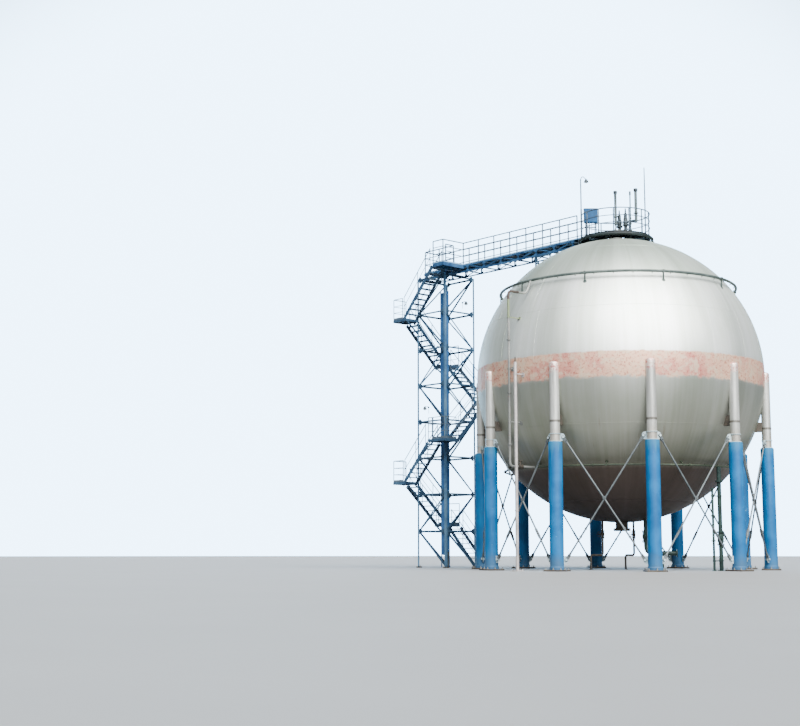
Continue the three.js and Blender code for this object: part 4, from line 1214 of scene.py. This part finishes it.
def control_box():
    """The blue box on its stand, with its door, hinges, lock and cable glands."""
    c = beside(-0.625, -0.928)
    side, out = turn(CROWN_SIDE), turn(CROWN_SIDE - 90)

    def across(bm, half, z, *size):
        """A bar of the box's width, level and along its front."""
        beam(bm, lift(c, z) - side * half, lift(c, z) + side * half, *size)

    bm = bmesh.new()
    across(bm, 0.30, 15.54, 0.196, 0.62)
    across(bm, 0.31, 15.862, 0.219, 0.024)
    door = lift(c, 15.535) + out * 0.101
    beam(bm, door - side * 0.272, door + side * 0.272, 0.014, 0.55)
    piece("control_box_case", bm, BOX_BLUE, ["control_box"], bevel=0.006)

    bm = bmesh.new()
    front = c + out * 0.106
    for z in (15.36, 15.72):
        upright(bm, front - side * 0.27, z - 0.035, z + 0.035, 0.009, 10)
    lock = front + side * 0.235
    tube(bm, lift(lock, 15.54), lift(lock, 15.54) + out * 0.010, 0.020, 14)
    grip = lock + out * 0.010
    beam(bm, lift(grip, 15.485), lift(grip, 15.555), 0.014, 0.008, out)
    for s in (-0.18, -0.08, 0.04, 0.15):
        gland = c + side * s
        upright(bm, gland, 15.205, 15.232, 0.024, 12)
        upright(bm, gland, 14.60, 15.21, 0.010, 8)
    piece("control_box_fittings", bm, IRON, [])

    bm = bmesh.new()
    for s in (-0.22, 0.22):
        p = c + side * s
        slab(bm, (p.x - 0.025, p.y - 0.025, PLATFORM_Z), (p.x + 0.025, p.y + 0.025, 15.24))
        upright(bm, p, PLATFORM_Z, PLATFORM_Z + 0.01, 0.07, 16)
    across(bm, 0.23, 15.025, 0.05)
    piece("control_box_stand", bm, RAIL_GREY, [], bevel=0.003)


def lamp(bm_metal, bm_glass, head, r):
    """A bell-shaped shade with its globe, hung from the head."""
    spun(bm_metal, [(0, 0.03), (0.035, 0.03), (0.05, 0.0), (r * 0.75, -0.05), (r, -0.12),
                    (r - 0.012, -0.12), (r * 0.7, -0.055), (0.0, -0.02)], head, 28)
    spun(bm_glass, [(0, -0.03), (0.05, -0.06), (0.058, -0.11), (0.04, -0.155), (0, -0.17)],
         head, 20)


def lamp_post():
    """The post with its bent arm and the lamp at the arm's end."""
    foot, side, z = beside(-1.065, -1.051), turn(CROWN_SIDE), DECK_Z
    bm, glass = bmesh.new(), bmesh.new()
    spun(bm, [(0, z), (0.045, z), (0.045, z + 0.02), (0.040, z + 0.025), (0.040, 15.9),
              (0.031, 15.93), (0.029, 17.29), (0, 17.29)], foot, 20)
    arm = [lift(foot + side * s, at)
           for s, at in ((0, 17.26), (0.03, 17.385), (0.12, 17.41), (0.245, 17.28))]
    swept(bm, arm, 0.019, 12, 0.09)
    piece("lamp_post", bm, RAIL_GREY, ["lamp_post"], weld=True)
    bm = bmesh.new()
    lamp(bm, glass, lift(foot + side * 0.245, 17.27), 0.11)
    piece("lamp_head", bm, VALVE_GREY, [], weld=True)
    piece("lamp_globe", glass, GLASS, [], weld=True)


def lightning_rod():
    """A rod of three tubes that ends in a point, with three gussets at its foot."""
    p = around(1.34, CROWN_SIDE)
    z = PLATFORM_Z
    bm = bmesh.new()
    spun(bm, [(0, z), (0.09, z), (0.09, z + 0.014), (0.030, z + 0.02),
              (0.030, 15.6), (0.036, 15.605), (0.036, 15.66), (0.030, 15.67), (0.030, 16.36),
              (0.034, 16.365), (0.034, 16.41), (0.027, 16.42), (0.026, 17.1), (0.022, 17.76),
              (0.0, 17.838)], p, 18)
    for k in range(3):
        d = turn(CROWN_SIDE + 120 * k)
        beam(bm, lift(p + d * 0.02, z + 0.12), lift(p + d * 0.085, z + 0.02), 0.008, 0.05)
    piece("lightning_rod", bm, RAIL_GREY, ["lightning_rod"], weld=True)


# Bridge

NEAR, FAR = TOWER.y - 0.5, TOWER.y + 0.5
BRIDGE_FROM, BRIDGE_TO = TOWER.x - 1.0, TANK.x - 1.0
STATIONS = [TOWER.x - 0.965, TOWER.x] + [TOWER.x + 0.95 + 1.13 * i for i in range(8)]
WING_FROM, WING_TO, WING_END = TOWER.x + 1.05, TOWER.x + 1.80, TOWER.y - 1.85
LOW_Z, TOP_Z = 14.208, 14.57
# How far a railing stands in from the deck's edge
INSET = 0.024
# The thickness of deck and edge plates
SHEET = 0.006
EDGE_LOW_Z = DECK_Z - 0.06


def deck_plates():
    """The deck's plates in a row with thin joints, and the wing's plate."""
    count, joint = 9, 0.002
    step = (BRIDGE_TO - BRIDGE_FROM) / count
    bm = bmesh.new()
    for i in range(count):
        a, b = BRIDGE_FROM + step * i + joint, BRIDGE_FROM + step * (i + 1) - joint
        slab(bm, (a, NEAR + SHEET, DECK_Z - SHEET), (b, FAR - SHEET, DECK_Z))
    slab(bm, (WING_FROM, WING_END + SHEET, DECK_Z - SHEET), (WING_TO, NEAR, DECK_Z))
    piece("bridge_deck_plates", bm, DECK, ["bridge_truss"])


def edge_plates():
    """Upright plates round the deck and the wing, with a foot along the deck's sides."""
    bm = bmesh.new()

    def edge(x0, x1, y0, y1, high=DECK_Z):
        slab(bm, (x0, y0, EDGE_LOW_Z), (x1, y1, high))

    foot, foot_top = 0.05, EDGE_LOW_Z + 0.008
    edge(BRIDGE_FROM, BRIDGE_TO, NEAR, NEAR + SHEET)
    edge(BRIDGE_FROM, BRIDGE_TO, NEAR, NEAR + foot, foot_top)
    edge(BRIDGE_FROM, BRIDGE_TO, FAR - SHEET, FAR)
    edge(BRIDGE_FROM, BRIDGE_TO, FAR - foot, FAR, foot_top)
    edge(WING_FROM, WING_FROM + SHEET, WING_END, NEAR)
    edge(WING_TO - SHEET, WING_TO, WING_END, NEAR)
    edge(BRIDGE_FROM, BRIDGE_FROM + SHEET, NEAR, FAR)
    edge(BRIDGE_TO - SHEET, BRIDGE_TO, NEAR, FAR)
    edge(WING_FROM, WING_TO, WING_END, WING_END + SHEET)
    piece("bridge_edge_plates", bm, EDGE_BLUE, [], bevel=0.0015)


def lattice_sides():
    """The two lattice sides: chords, posts, slanted angles and their gusset plates."""
    end = STATIONS[-1]
    bm = bmesh.new()
    for y, s in ((NEAR, 1), (FAR, -1)):
        line = y + s * 0.035
        for z, v in ((TOP_Z, -UP), (LOW_Z, UP)):
            angle(bm, (BRIDGE_FROM, y, z), (end, y, z), ACROSS * s, v, 0.07, 0.008)
        for i, x in enumerate(STATIONS):
            angle(bm, (x - 0.025, y + s * 0.008, LOW_Z), (x - 0.025, y + s * 0.008, TOP_Z),
                  ALONG, ACROSS * s, 0.05, 0.006)
            for z, d in ((LOW_Z, 1), (TOP_Z, -1)):
                low, high = sorted((z, z + d * 0.13))
                near, far = sorted((y - s * 0.001, y + s * 0.008))
                slab(bm, (x - 0.09, near, low), (x + 0.09, far, high))
            if i:
                z0, z1 = (LOW_Z, TOP_Z) if i % 2 else (TOP_Z, LOW_Z)
                m = 0.035 if z0 < z1 else -0.035
                p = Vector((STATIONS[i - 1], line, z0 + m))
                q = Vector((x, line, z1 - m))
                beam(bm, p, q, 0.006, 0.050)
                beam(bm, p + ACROSS * s * 0.016, q + ACROSS * s * 0.016, 0.040, 0.006)
    piece("bridge_lattice", bm, TRUSS_BLUE, [])


def cross_beams():
    """Floor beams and the flat bracing between the lattice sides."""
    bm = bmesh.new()
    for x in STATIONS:
        for z, high in ((LOW_Z + 0.035, 0.06), (TOP_Z + 0.005, 0.09)):
            channel(bm, (x - 0.03, NEAR + 0.01, z), (x - 0.03, FAR - 0.01, z), ALONG, UP, high,
                    0.035, 0.005)
    for i, (a, b) in enumerate(zip(STATIONS, STATIONS[1:])):
        mid = (a + b) / 2
        angle(bm, (mid, NEAR + 0.01, DECK_Z - 0.010), (mid, FAR - 0.01, DECK_Z - 0.010), ALONG,
              -UP, 0.045, 0.005)
        y0, y1 = (NEAR + 0.05, FAR - 0.05) if i % 2 else (FAR - 0.05, NEAR + 0.05)
        beam(bm, (a, y0, LOW_Z + 0.02), (b, y1, LOW_Z + 0.02), 0.045, 0.006)
    piece("bridge_cross_beams", bm, TRUSS_BLUE, [])


def wing_frame():
    """The channel frame under the short deck that leads to the stairs."""
    z, joist_z = DECK_Z - 0.145, DECK_Z - 0.055
    bm = bmesh.new()
    for x, s in ((WING_FROM, 1), (WING_TO, -1)):
        channel(bm, (x, WING_END, z), (x, NEAR + 0.04, z), ALONG * s, UP, 0.17, 0.06, 0.008)
    channel(bm, (WING_FROM, WING_END, z), (WING_TO, WING_END, z), ACROSS, UP, 0.17, 0.06, 0.008)
    for y in (WING_END + 0.48, WING_END + 0.90):
        channel(bm, (WING_FROM, y, joist_z), (WING_TO, y, joist_z), ACROSS, UP, 0.09, 0.04, 0.005)
    piece("bridge_wing_frame", bm, TRUSS_BLUE, [])


def rail_run(bm, corners, z, heights, gap, r, mid, top):
    """Round posts and rails through the corner points on a deck; the first rail is thicker."""
    posts = [corners[0]]
    for a, b in zip(corners, corners[1:]):
        count = max(1, round((b - a).length / gap))
        posts += [a + (b - a) * j / count for j in range(1, count + 1)]
    for p in posts:
        upright(bm, p, z - 0.055, z + top, r, 12)
    for i, h in enumerate(heights):
        swept(bm, [lift(c, z + h) for c in corners], r if i == 0 else mid, 10,
              0.06 if len(corners) > 2 else 0)


def bridge_railings():
    near, far, start = NEAR + INSET, FAR - INSET, BRIDGE_FROM + INSET
    wing_near, wing_from, wing_to = WING_END + INSET, WING_FROM + INSET, WING_TO - INSET
    front = [(TANK.x - 1.30, near), (wing_to, near), (wing_to, wing_near), (wing_from, wing_near)]
    back = [(TANK.x - 1.59, far), (start, far), (start, near), (wing_from, near),
            (wing_from, TOWER.y - 1.0)]
    for name, corners in (("bridge_railing_front", front), ("bridge_railing_back", back)):
        bm = bmesh.new()
        corners = [Vector((x, y, 0)) for x, y in corners]
        rail_run(bm, corners, DECK_Z, (1.029, 0.70, 0.37), 1.1, 0.030, 0.021, 1.029)
        piece(name, bm, RAIL_GREY, [name])


def bridge_strut():
    """Two posts and two raking legs between the bridge and the shell."""
    bm = bmesh.new()
    x, inset, top = TANK.x - 3.85, 0.035, 14.17
    near, far = NEAR + inset, FAR - inset
    for y, s in ((near, 1), (far, -1)):
        foot, toe = on_shell(x, y), on_shell(x + 0.54, y)
        tube(bm, foot - UP * 0.02, (x, y, top), 0.045, 20)
        shell_pad(bm, foot, 0.16, above=0.018, sides=28)
        shell_pad(bm, toe, 0.13, above=0.018, sides=28)
        beam(bm, (x - 0.03, y, top + 0.008), toe, 0.06)
        channel(bm, (x - 0.06, y - s * inset, top + 0.003), (x + 0.96, y - s * inset, top + 0.003),
                ACROSS * s, UP, 0.07, 0.05, SHEET)
        slab(bm, (x - 0.10, y - SHEET, top - 0.15), (x + 0.10, y + SHEET, top))
    beam(bm, (x, near, 13.9), (x, far, 13.9), 0.06)
    beam(bm, (x, near, 13.25), (x, far, 13.9), 0.05)
    piece("bridge_strut", bm, BAR_BLUE, ["bridge_strut"], bevel=0.003)


# Stair tower

HALF = 0.95
# The height of one bay of bracing and their number
BAY, BAYS = 1.776, 8
CORNERS = ((HALF, -HALF), (HALF, HALF), (-HALF, HALF), (-HALF, -HALF))


def tower_legs():
    """The four corner angles with the splice plates outside them."""
    thick, wide, half, up_by = 0.008, 0.085, 0.05, 0.16
    bm = bmesh.new()
    for x, y in CORNERS:
        u, v = ALONG * math.copysign(1, x), ACROSS * math.copysign(1, y)
        heel = by_tower(x, y) + (u + v) * half
        angle(bm, lift(heel, 0.028), lift(heel, BAYS * BAY), -u, -v, 2 * half, 0.012)
        for i in (3, 6):
            z = BAY * i - 0.55
            c = heel - v * half + u * thick / 2
            beam(bm, lift(c, z - up_by), lift(c, z + up_by), thick, wide, ACROSS)
            c = heel - u * half + v * thick / 2
            beam(bm, lift(c, z - up_by), lift(c, z + up_by), wide, thick, ACROSS)
    piece("stair_tower_legs", bm, LEG_BLUE, ["stair_tower_front", "stair_tower_back"])


def tower_feet():
    """Foot plates with four gussets round each leg."""
    wide, high, thick = 0.046, 0.12, 0.008
    bm = bmesh.new()
    for corner in CORNERS:
        p = by_tower(*corner)
        foot_plate(bm, p, 0.20)
        for u in (ALONG, ACROSS):
            side = u.cross(UP) * thick / 2
            for s in (-1, 1):
                a = lift(p + u * s * 0.05, 0.03)
                section(bm, a - side, a + side, [(0, 0), (wide, 0), (0, high)], u * s, UP)
    piece("stair_tower_feet", bm, IRON, [])


def tower_sides():
    bars, plates = bmesh.new(), bmesh.new()
    for face in range(4):
        a, b = (by_tower(*CORNERS[(face + n) % 4]) for n in (0, 1))
        tower_side(bars, plates, a, b, face in (1, 2))
    piece("stair_tower_bars", bars, BAR_BLUE, ["stair_tower_tank_side", "stair_tower_outer_side"])
    piece("stair_tower_gussets", plates, BAR_BLUE, [])


def tower_side(bars, plates, a, b, rises_first):
    """Level angles, slanted angles and gusset plates of one side of the tower."""
    way = (b - a).normalized()
    out = way.cross(UP)
    for i in range(1, BAYS + 1):
        z = i * BAY - 0.04
        p, q = a + way * 0.045 + out * 0.04, b - way * 0.045 + out * 0.04
        angle(bars, lift(p, z + 0.04), lift(q, z + 0.04), -out, -UP, 0.08, 0.008)
        low = z - BAY if i > 1 else 0.06
        za, zb = (low, z) if (i % 2 == 1) == rises_first else (z, low)
        s, t = lift(a, za), lift(b, zb)
        along = (t - s).normalized()
        s, t = s + along * 0.10, t - along * 0.10
        beam(bars, s + out * 0.012, t + out * 0.012, 0.007, 0.075)
        beam(bars, s - out * 0.015 + UP * 0.034, t - out * 0.015 + UP * 0.034, 0.054, 0.007)
        for end, c in ((a, 1), (b, -1)):
            foot = lift(end, z) + out * 0.020 + way * c * 0.05 - UP * 0.13
            section(plates, foot, foot + out * 0.008,
                    [(0, 0.0), (0.10, 0.0), (0.20, 0.09), (0.20, 0.17), (0.10, 0.26), (0, 0.26)],
                    way * c, UP)


# Each cable's distance across the ladder, and its size
CABLES = ((0.045, 0.018), (0.085, 0.014), (0.12, 0.020), (0.16, 0.014), (0.20, 0.018))


def cable_tray():
    """A cable ladder with a back sheet inside one leg, and a covered tray beside it."""
    low, high = by_tower(0.85, -0.90), by_tower(0.91, -0.65)
    mid, deep, top = (low.x + high.x) / 2, high.x - low.x, 13.40
    bm = bmesh.new()
    for y, s in ((low.y, 1), (high.y, -1)):
        channel(bm, (mid, y, 0.031), (mid, y, top), ACROSS * s, ALONG, deep, 0.02, 0.003)
    for i in range(44):
        z = 0.2 + 0.3 * i
        beam(bm, (mid - 0.012, low.y + 0.003, z), (mid - 0.012, high.y - 0.003, z), 0.03, 0.012)
    for i in range(8):
        a = 0.76 + 1.58 * i
        slab(bm, (high.x - 0.004, low.y + 0.004, a + 0.002), (high.x, high.y - 0.004, a + 1.576))

    left, right, y = 0.56, 0.84, -0.878
    for x, s in ((left, 1), (right, -1)):
        channel(bm, by_tower(x, y, 0.031), by_tower(x, y, top), ALONG * s, ACROSS, 0.048, 0.02,
                0.003)
    slab(bm, by_tower(left + 0.003, y - 0.024, 0.6), by_tower(right - 0.003, y - 0.020, top - 0.1))
    for i in range(9):
        z = 1.0 + 1.5 * i
        beam(bm, by_tower(left, y - 0.025, z), by_tower(right, y - 0.025, z), 0.003, 0.05)
    piece("tower_cable_tray", bm, TRAY_BLUE, ["tower_cable_tray"])
    cables(mid + 0.014, low.y, top)


def cables(x, y, top):
    """Five cables up the ladder, each a little wavy."""
    steps = 16
    bm = bmesh.new()
    for i, (beside_y, r) in enumerate(CABLES):
        line = [Vector((x + 0.002 * (i % 2), y + beside_y + 0.004 * math.sin(j * 1.9 + i * 2.3),
                        0.06 + (top - 0.3) * j / steps)) for j in range(steps + 1)]
        swept(bm, line, r * 0.8, 10)
    piece("tower_cables", bm, CABLE, [])


def tower_lamps():
    """Two lamps on bent arms from the tower's sides, each with a short conduit."""
    metal, glass = bmesh.new(), bmesh.new()
    for p, way in ((by_tower(HALF, 0.25, 12.92), ALONG), (by_tower(-0.25, -HALF, 7.75), -ACROSS)):
        swept(metal, [p, p + way * 0.10 + UP * 0.05, p + way * 0.24 + UP * 0.02], 0.012, 10, 0.05)
        lamp(metal, glass, p + way * 0.24, 0.10)
        tube(metal, p - way * 0.03, p + way * 0.02, 0.04, 16)
        tube(metal, lift(p, p.z - 0.30) - way * 0.01, p - way * 0.01 + UP * 0.04, 0.010, 8)
    piece("tower_lamp_heads", metal, VALVE_GREY, [])
    piece("tower_lamp_globes", glass, GLASS, [])


# Stairs

# For each flight its side, its head and foot along that side, and its levels
FLIGHTS = ((0, -1.05, 1.15, DECK_Z, 12.15), (1, -1.0, 1.05, 12.15, 10.12),
           (2, -1.0, 1.05, 10.12, 8.10), (3, -1.0, 1.05, 8.10, 6.08),
           (0, -0.70, 1.10, 6.08, 4.13), (1, -1.0, 1.12, 4.13, 2.13), (2, -1.0, 1.05, 2.13, 0.0))
# The direction down along each side of the tower
DOWN = ((-1, 0), (0, 1), (1, 0), (0, -1))
RISE = 0.225
# The flights' two edges from the tower's middle, and a landing's ends and edges
INNER, OUTER = 1.05, 1.83
LANDING = (0.90, 1.85, 1.00, 1.85)
# A stair railing's rails, post gap, radii and post height
STAIR_RAILS = ((1.028, 0.68, 0.36), 0.85, 0.020, 0.014, 1.026)


def on_side(side, s, w, z=0.0):
    """A point beside the tower: s runs down along the side, w out from the tower's middle."""
    x, y = DOWN[side]
    return by_tower(x * s - y * w, y * s + x * w, z)


def stringers(frame, rails, side, head, run, z_top, z_low, slope, going):
    """The two channels of a flight with their posts and handrails."""
    def on(s, w, up):
        return on_side(side, head + s, w, z_top - s * slope + up)

    across = on_side(side, 0, 1) - on_side(side, 0, 0)
    down = (on(1, 0, 0) - on(0, 0, 0)).normalized()
    normal = down.cross(across).normalized()
    if normal.z < 0:
        normal.negate()
    low_s = min(run + 0.06, (z_top - RISE) / slope) if z_low == 0 else run + 0.04
    for w, face in ((INNER, -1), (OUTER, 1)):
        flat = across * face
        web = w - face * 0.004
        channel(frame, on(0.03, web, -0.13), on(low_s, web, -0.13), flat, normal, 0.18, 0.02,
                0.008)
        for s in (going, run / 2, run - going / 2):
            tube(rails, on(s, w, -0.11), on(s, w, 0.94), 0.018, 12)
        ends = on(going - 0.015, w, 0.94), on(run - going / 2 + 0.015, w, 0.94)
        swept(rails, ends, 0.020, 12)
        tube(rails, on(going, w, 0.48), on(run - going / 2, w, 0.48), 0.014, 10)


def treads(bm, side, head, count, going, z_top, rise):
    """Folded tread plates, one for each step below the top."""
    ahead = on_side(side, 1, 0) - on_side(side, 0, 0)
    for i in range(1, count):
        s, z = head + (i - 0.5) * going, z_top - i * rise
        section(bm, on_side(side, s, INNER + 0.006, z), on_side(side, s, OUTER - 0.006, z),
                [(-0.125, 0), (0.125, 0), (0.125, -0.036), (0.119, -0.036), (0.119, -0.006),
                 (-0.119, -0.006), (-0.119, -0.036), (-0.125, -0.036)], ahead, UP)


def framed_plate(frame, plate, side, s0, s1, w0, w1, z):
    """A level plate in a channel frame with two cross bars under it."""
    a, b = on_side(side, s0, w0), on_side(side, s1, w1)
    x0, x1 = sorted((a.x, b.x))
    y0, y1 = sorted((a.y, b.y))
    slab(plate, (x0, y0, z - 0.006), (x1, y1, z))
    corners = [Vector((x, y, z - 0.068)) for x, y in ((x0, y0), (x1, y0), (x1, y1), (x0, y1))]
    for p, q in zip(corners, corners[1:] + corners[:1]):
        channel(frame, p, q, UP.cross((q - p).normalized()), UP, 0.124, 0.05, 0.006)
    for t in (0.33, 0.67):
        x = x0 + (x1 - x0) * t
        beam(frame, (x, y0 + 0.006, z - 0.037), (x, y1 - 0.006, z - 0.037), 0.05, 0.06)


def landing(frame, plate, rails, side, foot, z):
    """The landing at the corner below a flight, with its rails, toe plates and knee brace."""
    s0, s1, w0, w1 = LANDING
    framed_plate(frame, plate, side, s0, s1, w0, w1, z)
    line = [on_side(side, s1 - INSET, w0 + INSET), on_side(side, s1 - INSET, w1 - INSET),
            on_side(side, foot + INSET, w1 - INSET)]
    rail_run(rails, line, z, *STAIR_RAILS)
    for a, b in zip(line, line[1:]):
        beam(rails, lift(a, z + 0.05), lift(b, z + 0.05), 0.005, 0.10)
    beam(frame, on_side(side, 0.95, 1.003, z - 0.71), on_side(side, 0.95, 1.73, z - 0.12), 0.06)


def flight(index):
    """One flight with the landing below it and, where it starts inside the side, one above."""
    side, head, foot, z_top, z_low = FLIGHTS[index]
    run = foot - head
    count = round((z_top - z_low) / RISE)
    rise, going = (z_top - z_low) / count, run / count
    frame_bm, rail_bm, tread_bm = bmesh.new(), bmesh.new(), bmesh.new()
    stringers(frame_bm, rail_bm, side, head, run, z_top, z_low, rise / going, going)
    treads(tread_bm, side, head, count, going, z_top, rise)
    if z_low > 0:
        landing(frame_bm, tread_bm, rail_bm, side, foot, z_low)
    if head > -HALF:
        framed_plate(frame_bm, tread_bm, side, -1.0, head + 0.05, INNER - 0.015, OUTER + 0.015,
                     z_top)
        rail_run(rail_bm, [on_side(side, INSET - 1.0, OUTER), on_side(side, head, OUTER)], z_top,
                 *STAIR_RAILS)
    name = f"stair_flight_{index + 1}"
    piece(name, frame_bm, STAIR_BLUE, [name])
    piece(name + "_treads", tread_bm, TREAD, [])
    piece(name + "_rails", rail_bm, RAIL_GREY, [])


camera()
sky()
lights()
floor_disc()
shell()
for k in range(COLUMNS):
    column(k)
    tie_rods(k)
spray_ring("upper_spray_ring", 5.115, 12.05, 0.058, 0.04, 7.3, True, 0, RING_GREEN)
spray_ring("lower_spray_ring", 5.03, 4.21, 0.035, 0.03, 15.3, False, 8, LOW_RING)
ring_riser()
riser_pole()
feed_pipes()
bottom_manhole()
bottom_outlet()
drain_pipe(beside(-0.62, -0.55), beside(-0.62, -1.35))
drain_pipe(beside(0.05, 0.72), beside(-0.75, 1.10))
platform()
round_railing()
top_manhole()
for valve in VALVES:
    relief_valve(*valve)
gauge_pipe()
control_box()
lamp_post()
lightning_rod()
deck_plates()
edge_plates()
lattice_sides()
cross_beams()
wing_frame()
bridge_railings()
bridge_strut()
tower_legs()
tower_feet()
tower_sides()
cable_tray()
tower_lamps()
for index in range(len(FLIGHTS)):
    flight(index)
